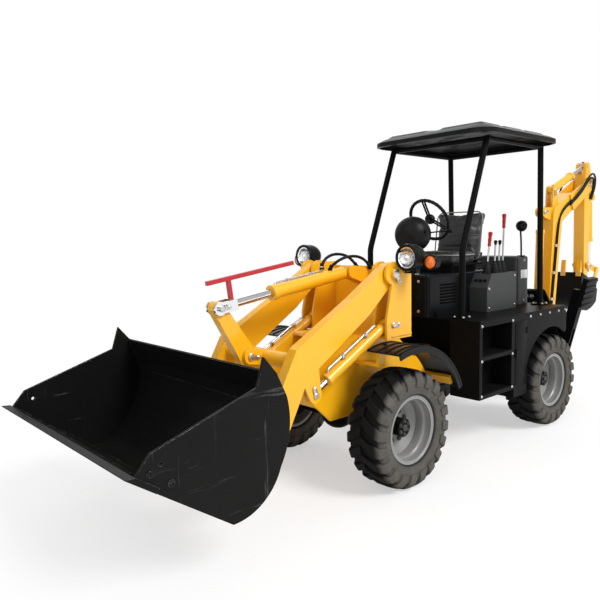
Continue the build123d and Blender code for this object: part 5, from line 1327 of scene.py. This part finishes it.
def pin_head(radius, height, chamfer):
    """Outline of a chamfered pin end in millimetres."""
    rim = radius * 0.95
    return ((0, height), (radius * 0.8, height), (rim, height - chamfer), (rim, -1), (0, -1))


class LOADER_OT_pins(bpy.types.Operator):
    """Pin heads, each with a bolted lock plate"""

    bl_idname = "loader.pins"
    bl_label = "Pins"

    def execute(self, context):
        groups = {}
        for body, place, stand_off, radius, way in PIN_ENDS:
            if body not in groups:
                groups[body] = bmesh.new()
            for side in SIDES:
                self.add_pin(groups[body], beside(place, side), side, stand_off * MM, radius, way)
        for body, bm in groups.items():
            place_piece("pins_" + body, bm, "zinc", body)
        self.stand_pins()
        return {"FINISHED"}

    def add_pin(self, bm, face, side, stand_off, radius, way):
        """A chamfered pin end, and a round-ended plate from it to a bolt."""
        out = Vector((0, side, 0))
        along = Vector((way[0], 0, way[1])).normalized()
        add_lathe(bm, pin_head(radius, 7, 2.5), face + out * stand_off, out, 28)
        reach = radius * MM + 0.03
        plate = slot_outline(reach, LOCK_PLATE_HALF_WIDTH)
        add_plate(bm, plate, face + out * (stand_off - 0.001), along, out.cross(along), 0.005, 0.001)
        bolt = face + along * reach
        add_rod(bm, bolt, bolt + out * stand_off, 0.01, 16)
        add_bolt(bm, bolt + out * (stand_off + 0.004), out, 0.0085)

    def stand_pins(self):
        """Pin ends on both faces of the stabilisers' stand."""
        bm = bmesh.new()
        for x, ahead in STAND_FACES:
            for y, z, radius in STAND_PINS:
                add_lathe(bm, pin_head(radius, 6, 2), at(x, y, z), (ahead, 0, 0), 28)
                inward = -1 if y > 0 else 1
                add_block(bm, at(x - ahead * 3, y + inward * 42, z), (0.006, 0.05, 0.03), bevel=0.001)
                add_bolt(bm, at(x, y + inward * 52, z), (ahead, 0, 0), 0.008)
        place_piece("pins_stand", bm, "zinc", "rear_frame")


# Hoses and oil pipes

LIFT_FOOT = (-110, 355, 1030)
LIFT_WAY = (0.889, -0.458)
LIFT_PIPE = (
    (92, 30), (92, 50), (104, 56), (130, 56), (330, 56), (575, 56), (592, 56), (604, 50), (604, 34),
)
TILT_PIPE = (
    (118, -22, 1402), (118, -22, 1393), (128, -22, 1391), (150, -22, 1389), (330, -22, 1364),
    (510, -22, 1340), (532, -22, 1337), (548, -20, 1334), (550, -18, 1318),
)
TILT_CLAMPS = ((230, 1370), (430, 1343))
BOOM_RUN = ((-3072, 800), (-3130, 1200), (-3190, 1640), (-3226, 1790), (-3330, 1878), (-3480, 1945))
BOOM_BEND = 1700
BOOM_CLAMPS = ((-3093, 940), (-3132, 1210), (-3170, 1490))
HOSES = (
    (("tilt_base_hose",), "front_frame", "loader_arms", (
        (-284, 66, 1395), (-230, 72, 1470), (-90, 62, 1500), (30, 40, 1460), (62, 14, 1420), (64, 0, 1392),
    )),
    (("tilt_end_hose",), "front_frame", "loader_arms", (
        (-284, -60, 1395), (-225, -66, 1480), (-70, -66, 1515), (60, -48, 1480), (112, -26, 1440),
        (118, -22, 1402),
    )),
    (("frame_hose_one",), "rear_frame", "front_frame", (
        (-780, 58, 930), (-730, 62, 955), (-640, 70, 900), (-560, 66, 800), (-548, 60, 729),
    )),
    (("frame_hose_two",), "rear_frame", "front_frame", (
        (-780, 20, 930), (-720, 24, 970), (-620, 28, 920), (-540, 26, 810), (-528, 22, 729),
    )),
    (("frame_hose_three",), "rear_frame", "front_frame", (
        (-780, -24, 930), (-730, -26, 950), (-650, -30, 890), (-570, -30, 800), (-552, -26, 729),
    )),
    (("swing_hose_left", "swing_hose_right"), "rear_frame", "swing_post", (
        (-2660, 52, 690), (-2720, 84, 668), (-2800, 128, 640), (-2880, 126, 622), (-2936, 96, 640),
    )),
    (("foot_hose_left", "foot_hose_right"), "swing_post", "backhoe_boom", (
        (-2995, 93, 700), (-3016, 98, 745), (-3046, 99, 800), (-3070, 94, 832), (-3080, 78, 860),
    )),
    (("elbow_hose_left", "elbow_hose_right"), "backhoe_boom", "backhoe_dipper", (
        (-3470, 76, 1941), (-3600, 112, 2030), (-3740, 132, 2190), (-3890, 128, 2280), (-4010, 116, 2200),
        (-4022, 84, 2060), (-4006, 60, 1985),
    )),
    (("elbow_hose_inner",), "backhoe_boom", "backhoe_dipper", (
        (-3462, 76, 1919), (-3580, 108, 1985), (-3730, 122, 2130), (-3870, 122, 2235), (-3975, 112, 2180),
        (-3990, 84, 2060), (-3978, 60, 1990),
    )),
)


def on_lift(side, along, off):
    """A point by a lift barrel, at distances along its axis and off it."""
    (x, y, z), (ahead, up) = LIFT_FOOT, LIFT_WAY
    return at(x + ahead * along - up * off, side * y, z + up * along + ahead * off)


class LOADER_OT_hoses(bpy.types.Operator):
    """Hydraulic hoses across the joints, and steel pipes on barrels and boom"""

    bl_idname = "loader.hoses"
    bl_label = "Hoses"

    def execute(self, context):
        radius = sizes().hose_radius
        for names, low, high, points in HOSES:
            for name, side in zip(names, SIDES):
                path = [beside(point, side) for point in points]
                bm = bmesh.new()
                add_hose(bm, path, radius)
                self.add_ferrule(bm, path[0], path[1], radius)
                self.add_ferrule(bm, path[-1], path[-2], radius)
                hose = place_piece(name, bm, "hose_rubber", None)
                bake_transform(hose)
        self.lift_pipes()
        self.tilt_pipe()
        self.boom_pipes()
        return {"FINISHED"}

    def add_ferrule(self, bm, end, after, radius):
        """Crimped sleeve and nut at a hose's end."""
        way = (after - end).normalized()
        add_rod(bm, end, end + way * 0.042, radius * 1.3, 16, bevel=0.0015)
        add_rod(bm, end - way * 0.002, end + way * 0.014, radius * 1.65, 6, bevel=0.001)

    def lift_pipes(self):
        """Steel pipe along each lift barrel, from its base to its gland."""
        bm = bmesh.new()
        across = turn_to((-LIFT_WAY[1], 0, LIFT_WAY[0]))
        for side in SIDES:
            path = [on_lift(side, along, off) for along, off in LIFT_PIPE]
            add_hose(bm, path, sizes().pipe_radius, 3)
            for along in (210, 450):
                add_block(bm, on_lift(side, along, 46), (0.03, 0.026, 0.03), across, 0.002)
        place_piece("lift_pipes", bm, "zinc", "lift_barrels")

    def tilt_pipe(self):
        """Steel pipe along the tilt barrel, from the hose to its gland."""
        bm = bmesh.new()
        path = [at(*point) for point in TILT_PIPE]
        add_hose(bm, path, sizes().pipe_radius, 3)
        add_rod(bm, path[0] + Vector((0, 0, 0.002)), path[0] + Vector((0, 0, 0.022)), 0.014, 6, bevel=0.001)
        for x, z in TILT_CLAMPS:
            add_block(bm, at(x, -20, z), (0.03, 0.026, 0.034), bevel=0.002)
        place_piece("tilt_pipe", bm, "zinc", "tilt_barrel")

    def boom_pipes(self):
        """Two clamped pipes on each side of the boom."""
        pipes, clamps = bmesh.new(), bmesh.new()
        for side in SIDES:
            for shift in (-13, 13):
                path = []
                for x, z in BOOM_RUN:
                    ahead, down = (0.97, 0) if z < BOOM_BEND else (0.35, 0.9)
                    path.append(at(x + shift * ahead, side * 76, z - shift * down))
                add_hose(pipes, path, sizes().pipe_radius)
            for x, z in BOOM_CLAMPS:
                add_block(clamps, at(x, side * 75, z), (0.064, 0.022, 0.03), bevel=0.003)
                add_bolt(clamps, at(x, side * 85, z), (0, side, 0), 0.006)
        place_piece("boom_pipes", pipes, "hose_rubber", "backhoe_boom")
        place_piece("boom_clamps", clamps, "zinc", "backhoe_boom")


# Covers, steps and deck

FOOT_BOLTS = ((-38, -38), (-38, 38), (38, -38), (38, 38))
FILLER_CAP = ((0, 34), (30, 33), (36, 29), (37, 8), (31, 6), (30, -2), (0, -2))
FILLER_PLACE = (-2060, -150, 1420)
STEP_FLOORS = (445, 730)
BOX_SIDE = 650
LOUVRE_TILT = math.radians(-28)


class LOADER_OT_covers(bpy.types.Operator):
    """Louvres, latches, doors, treads and bolts of the covers"""

    bl_idname = "loader.covers"
    bl_label = "Covers"

    def execute(self, context):
        dark, bolts = bmesh.new(), bmesh.new()
        self.hood(dark, bolts)
        self.console(dark, bolts)
        self.boxes(dark, bolts)
        for x in (-875, -2085):
            for side in SIDES:
                for step_x, step_y in FOOT_BOLTS:
                    add_bolt(bolts, at(x + step_x, side * 451 + step_y, 1007), (0, 0, 1), 0.009)
        place_piece("cover_fittings", dark, "black_paint", "rear_frame")
        place_piece("cover_bolts", bolts, "zinc", "rear_frame")
        plate = bmesh.new()
        add_block(plate, at(-2060, 311, 1262), (0.11, 0.003, 0.075), bevel=0.0012)
        place_piece("blank_plate", plate, "plate_white", "rear_frame")
        return {"FINISHED"}

    def hood(self, dark, bolts):
        """Louvres, latches and bolts of the hood."""
        for side in SIDES:
            tilt = Matrix.Rotation(side * LOUVRE_TILT, 4, "X")
            for z in range(1090, 1235, 24):
                add_block(dark, at(-1020, side * 231, z), (0.22, 0.004, 0.018), tilt, 0.0015)
            for x in (-860, -1270):
                add_block(dark, at(x, side * 233, 1010), (0.03, 0.012, 0.05), bevel=0.003)
            add_block(dark, at(-1192, side * 230.5, 1160), (0.004, 0.004, 0.26), bevel=0.001)
        for y in (-150, 150):
            for z in (1040, 1270):
                add_bolt(bolts, at(-745, y, z), (1, 0, 0), 0.008)
        for z in range(1070, 1239, 24):
            add_block(dark, at(-744, 0, z), (0.006, 0.26, 0.012), bevel=0.0015)

    def console(self, dark, bolts):
        """Bolts, lever plates and switches of the console, and the filler cap."""
        for x, z in ((-1350, 1025), (-1350, 1180), (-1750, 1025), (-1750, 1270)):
            add_bolt(bolts, at(x, 392, z), (0, 1, 0), 0.007)
        for x, length in ((-1440, 0.085), (-1592, 0.16), (-1690, 0.085)):
            add_block(dark, at(x, LEVER_Y, CONSOLE_TOP + 1), (length, 0.09, 0.004), bevel=0.0015)
        slope = turn_to((110, 0, 70), (0, 1, 0))
        for y in (270, 311, 352):
            add_block(dark, at(-1354, y, 1246), (0.02, 0.03, 0.012), slope, 0.003)
        for side in reversed(SIDES):
            for z in (1030, 1385):
                add_bolt(bolts, at(-2060, side * 310, z), (0, side, 0), 0.007)
        add_lathe(dark, FILLER_CAP, at(*FILLER_PLACE), (0, 0, 1), 32)

    def boxes(self, dark, bolts):
        """Step treads, toolbox doors, a rail and bolts of the side boxes."""
        for side in SIDES:
            for floor in STEP_FLOORS:
                for y in range(500, 629, 32):
                    add_block(dark, at(-1044, side * y, floor + 2), (0.40, 0.009, 0.006), bevel=0.0015)
                for x in range(-1232, -854, 29):
                    add_block(dark, at(x, side * 643, floor + 3), (0.014, 0.008, 0.008), bevel=0.001)
            add_block(dark, at(-1390, side * 651, 690), (0.168, 0.005, 0.5), bevel=0.002)
            for z in (520, 860):
                add_rod(dark, at(-1478, side * 653, z - 26), at(-1478, side * 653, z + 26), 0.007, 14)
            add_block(dark, at(-1318, side * 656, 690), (0.022, 0.012, 0.07), bevel=0.004)
            add_rod(dark, at(-2168, side * 649, 990), at(-802, side * 649, 990), 0.0065, 12)
            for x in (-830, -1262):
                for z in (440, 700, 958):
                    add_bolt(bolts, at(x, side * BOX_SIDE, z), (0, side, 0), 0.007)
            for x in (-1540, -1700, -1860, -2020, -2140):
                add_bolt(bolts, at(x, side * BOX_SIDE, 962), (0, side, 0), 0.007)


# Stabilisers and digging arm

LEG_PIVOT = (-2600, 420, 470)
LEG_LEAN = math.radians(14)
TUBE_CENTRE = (684, 318, 880)
TUBE_RADIUS = 52
TUBE_STEPS = 32
TOWER_FOOT = 951


class LOADER_OT_digger(bpy.types.Operator):
    """Ribbed stabiliser pads, tooth bolts, a rod cap and weld beads"""

    bl_idname = "loader.digger"
    bl_label = "Digging arm"

    def execute(self, context):
        for name, side in zip(("left", "right"), SIDES):
            up = Vector((0, side * math.sin(LEG_LEAN), math.cos(LEG_LEAN)))
            out = Vector((0, side * math.cos(LEG_LEAN), -math.sin(LEG_LEAN)))
            axes = Matrix((up, Vector((1, 0, 0)), out)).transposed().to_4x4()
            hinge = beside(LEG_PIVOT, side)
            bm = bmesh.new()
            for k in range(-2, 3):
                rib = hinge + up * (0.64 + 0.056 * k) + out * 0.091
                add_block(bm, rib, (0.018, 0.2, 0.012), axes, 0.003)
            for x in (-0.06, 0.06):
                cheek = hinge + up * 0.6 + out * 0.036 + Vector((x, 0, 0))
                add_block(bm, cheek, (0.11, 0.012, 0.05), axes, 0.003)
            place_piece("pad_ribs_" + name, bm, "black_paint", "stabiliser_" + name)
        teeth = bmesh.new()
        for y in (-165, 0, 165):
            add_bolt(teeth, at(-3478, y, 1192), (1, 0, 0), 0.009)
        place_piece("tooth_bolts", teeth, "zinc", "backhoe_bucket")
        cap = bmesh.new()
        add_rod(cap, at(-3922, 0, 2384), at(-3922, 0, 2396), 0.018, 20, 0.013, 0.003)
        place_piece("dipper_cap", cap, "red_plastic", "dipper_rod")
        self.welds()
        return {"FINISHED"}

    def welds(self):
        """Weld beads round the arms' cross tube and along the tower's foot."""
        tube, foot = bmesh.new(), bmesh.new()
        x, y, z = TUBE_CENTRE
        for side in SIDES:
            ring = []
            for k in range(TUBE_STEPS + 1):
                turn = math.tau * k / TUBE_STEPS
                ring.append(at(x + TUBE_RADIUS * math.cos(turn), side * y, z + TUBE_RADIUS * math.sin(turn)))
            add_hose(tube, ring, 0.006, 3)
            for wall in (288, 422):
                bead = [at(run, side * wall, TOWER_FOOT) for run in (-302, -200, -94)]
                add_hose(foot, bead, 0.005, 3)
        place_piece("tube_welds", tube, "yellow_paint", "loader_arms")
        place_piece("tower_welds", foot, "yellow_paint", "front_frame")


# Stage

CAMERA_PLACE = (3081, 3036, 1626)
CAMERA_YAW = -132.0
CAMERA_PITCH = -5.82
CAMERA_ROLL = -1.17
CAMERA_LENS = 36.9
SKY_STRENGTH = 0.58
SUNS = (
    ("key", (-0.18, 0.78, 0.72), 24, 2.7),
    ("front", (0.8, 0.15, 0.45), 50, 0.6),
    ("back", (-0.7, -0.6, 0.5), 50, 0.5),
)


def camera_axes():
    """Right, up and back vectors of the camera."""
    yaw, pitch, roll = (math.radians(v) for v in (CAMERA_YAW, CAMERA_PITCH, CAMERA_ROLL))
    ahead = Vector((math.cos(pitch) * math.cos(yaw), math.cos(pitch) * math.sin(yaw), math.sin(pitch)))
    right = Vector((math.sin(yaw), -math.cos(yaw), 0))
    up = right.cross(ahead)
    c, s = math.cos(roll), math.sin(roll)
    return c * right + s * up, c * up - s * right, -ahead


def seen_rays(tree):
    """One for rays from the camera and through glass."""
    path = wire(tree, "LightPath").outputs
    return math_node(tree, "MAXIMUM", path["Is Camera Ray"], path["Is Transmission Ray"])


def shown_white(tree, lit, bright, share):
    """Mixes a lit shader with plain white by a share."""
    white = wire(tree, bright, {"Color": (1, 1, 1, 1), "Strength": 1.0}).outputs[0]
    return wire(tree, "MixShader", {0: share, 1: lit, 2: white}).outputs[0]


class LOADER_OT_stage(bpy.types.Operator):
    """Pale floor, soft light and the camera"""

    bl_idname = "loader.stage"
    bl_label = "Stage"

    def execute(self, context):
        scene = context.scene
        scene.view_settings.view_transform = "Standard"
        bm = bmesh.new()
        bmesh.ops.create_grid(bm, x_segments=1, y_segments=1, size=60)
        mesh = bpy.data.meshes.new("floor")
        bm.to_mesh(mesh)
        bm.free()
        mesh.materials.append(self.pale_floor())
        linked("floor", mesh)
        world = bpy.data.worlds.new("studio")
        scene.world = world
        world.use_nodes = True
        tree = world.node_tree
        sky = tree.nodes["Background"]
        sky.inputs["Color"].default_value = (1, 1, 1, 1)
        sky.inputs["Strength"].default_value = SKY_STRENGTH
        shown = shown_white(tree, sky.outputs[0], "Background", seen_rays(tree))
        tree.links.new(shown, tree.nodes["World Output"].inputs["Surface"])
        for name, towards, spread, strength in SUNS:
            lamp = bpy.data.lights.new(name, "SUN")
            lamp.energy = strength
            lamp.angle = math.radians(spread)
            linked(name, lamp).matrix_world = Matrix.Translation(Vector(towards) * 9) @ turn_to(towards)
        data = bpy.data.cameras.new("camera")
        data.sensor_width = 36
        data.lens = CAMERA_LENS
        scene.camera = linked("camera", data)
        axes = Matrix(camera_axes()).transposed().to_4x4()
        scene.camera.matrix_world = Matrix.Translation(at(*CAMERA_PLACE)) @ axes
        return {"FINISHED"}

    def pale_floor(self):
        """Matt floor near the machine, running out to plain white."""
        pale = Finish("pale_floor", (0.9, 0.9, 0.9), 0.9, specular=0.0)
        material = pale.done()
        tree = material.node_tree
        reach = wire(tree, "VectorMath", {0: rest_place(tree)}, operation="LENGTH").outputs["Value"]
        far = range_node(tree, reach, 1.6, 4.4, 0.5, 1.0)
        share = math_node(tree, "MULTIPLY", seen_rays(tree), far)
        mixed = shown_white(tree, pale.shader.outputs[0], "Emission", share)
        tree.links.new(mixed, tree.nodes["Material Output"].inputs["Surface"])
        return material


# Panel and registration


class LOADER_PT_looks(bpy.types.Panel):
    """Steps that dress the loader"""

    bl_idname = "LOADER_PT_looks"
    bl_label = "Backhoe Loader"
    bl_space_type = "VIEW_3D"
    bl_region_type = "UI"
    bl_category = "Loader"

    def draw(self, context):
        for step in STEPS:
            self.layout.operator(step.bl_idname)


STEPS = (
    LOADER_OT_finishes,
    LOADER_OT_tyres,
    LOADER_OT_rims,
    LOADER_OT_bucket,
    LOADER_OT_roof,
    LOADER_OT_fenders,
    LOADER_OT_seat,
    LOADER_OT_steering,
    LOADER_OT_levers,
    LOADER_OT_lamps,
    LOADER_OT_pins,
    LOADER_OT_hoses,
    LOADER_OT_covers,
    LOADER_OT_digger,
    LOADER_OT_stage,
)
CLASSES = (LoaderColours, LoaderSizes, *STEPS, LOADER_PT_looks)


def register():
    for made in CLASSES:
        bpy.utils.register_class(made)
    bpy.types.Scene.loader_colours = PointerProperty(type=LoaderColours)
    bpy.types.Scene.loader_sizes = PointerProperty(type=LoaderSizes)


def unregister():
    del bpy.types.Scene.loader_colours
    del bpy.types.Scene.loader_sizes
    for made in reversed(CLASSES):
        bpy.utils.unregister_class(made)


def main():
    register()
    for step in STEPS:
        getattr(bpy.ops.loader, step.bl_idname.split(".")[1])()


if __name__ == "__main__":
    main()
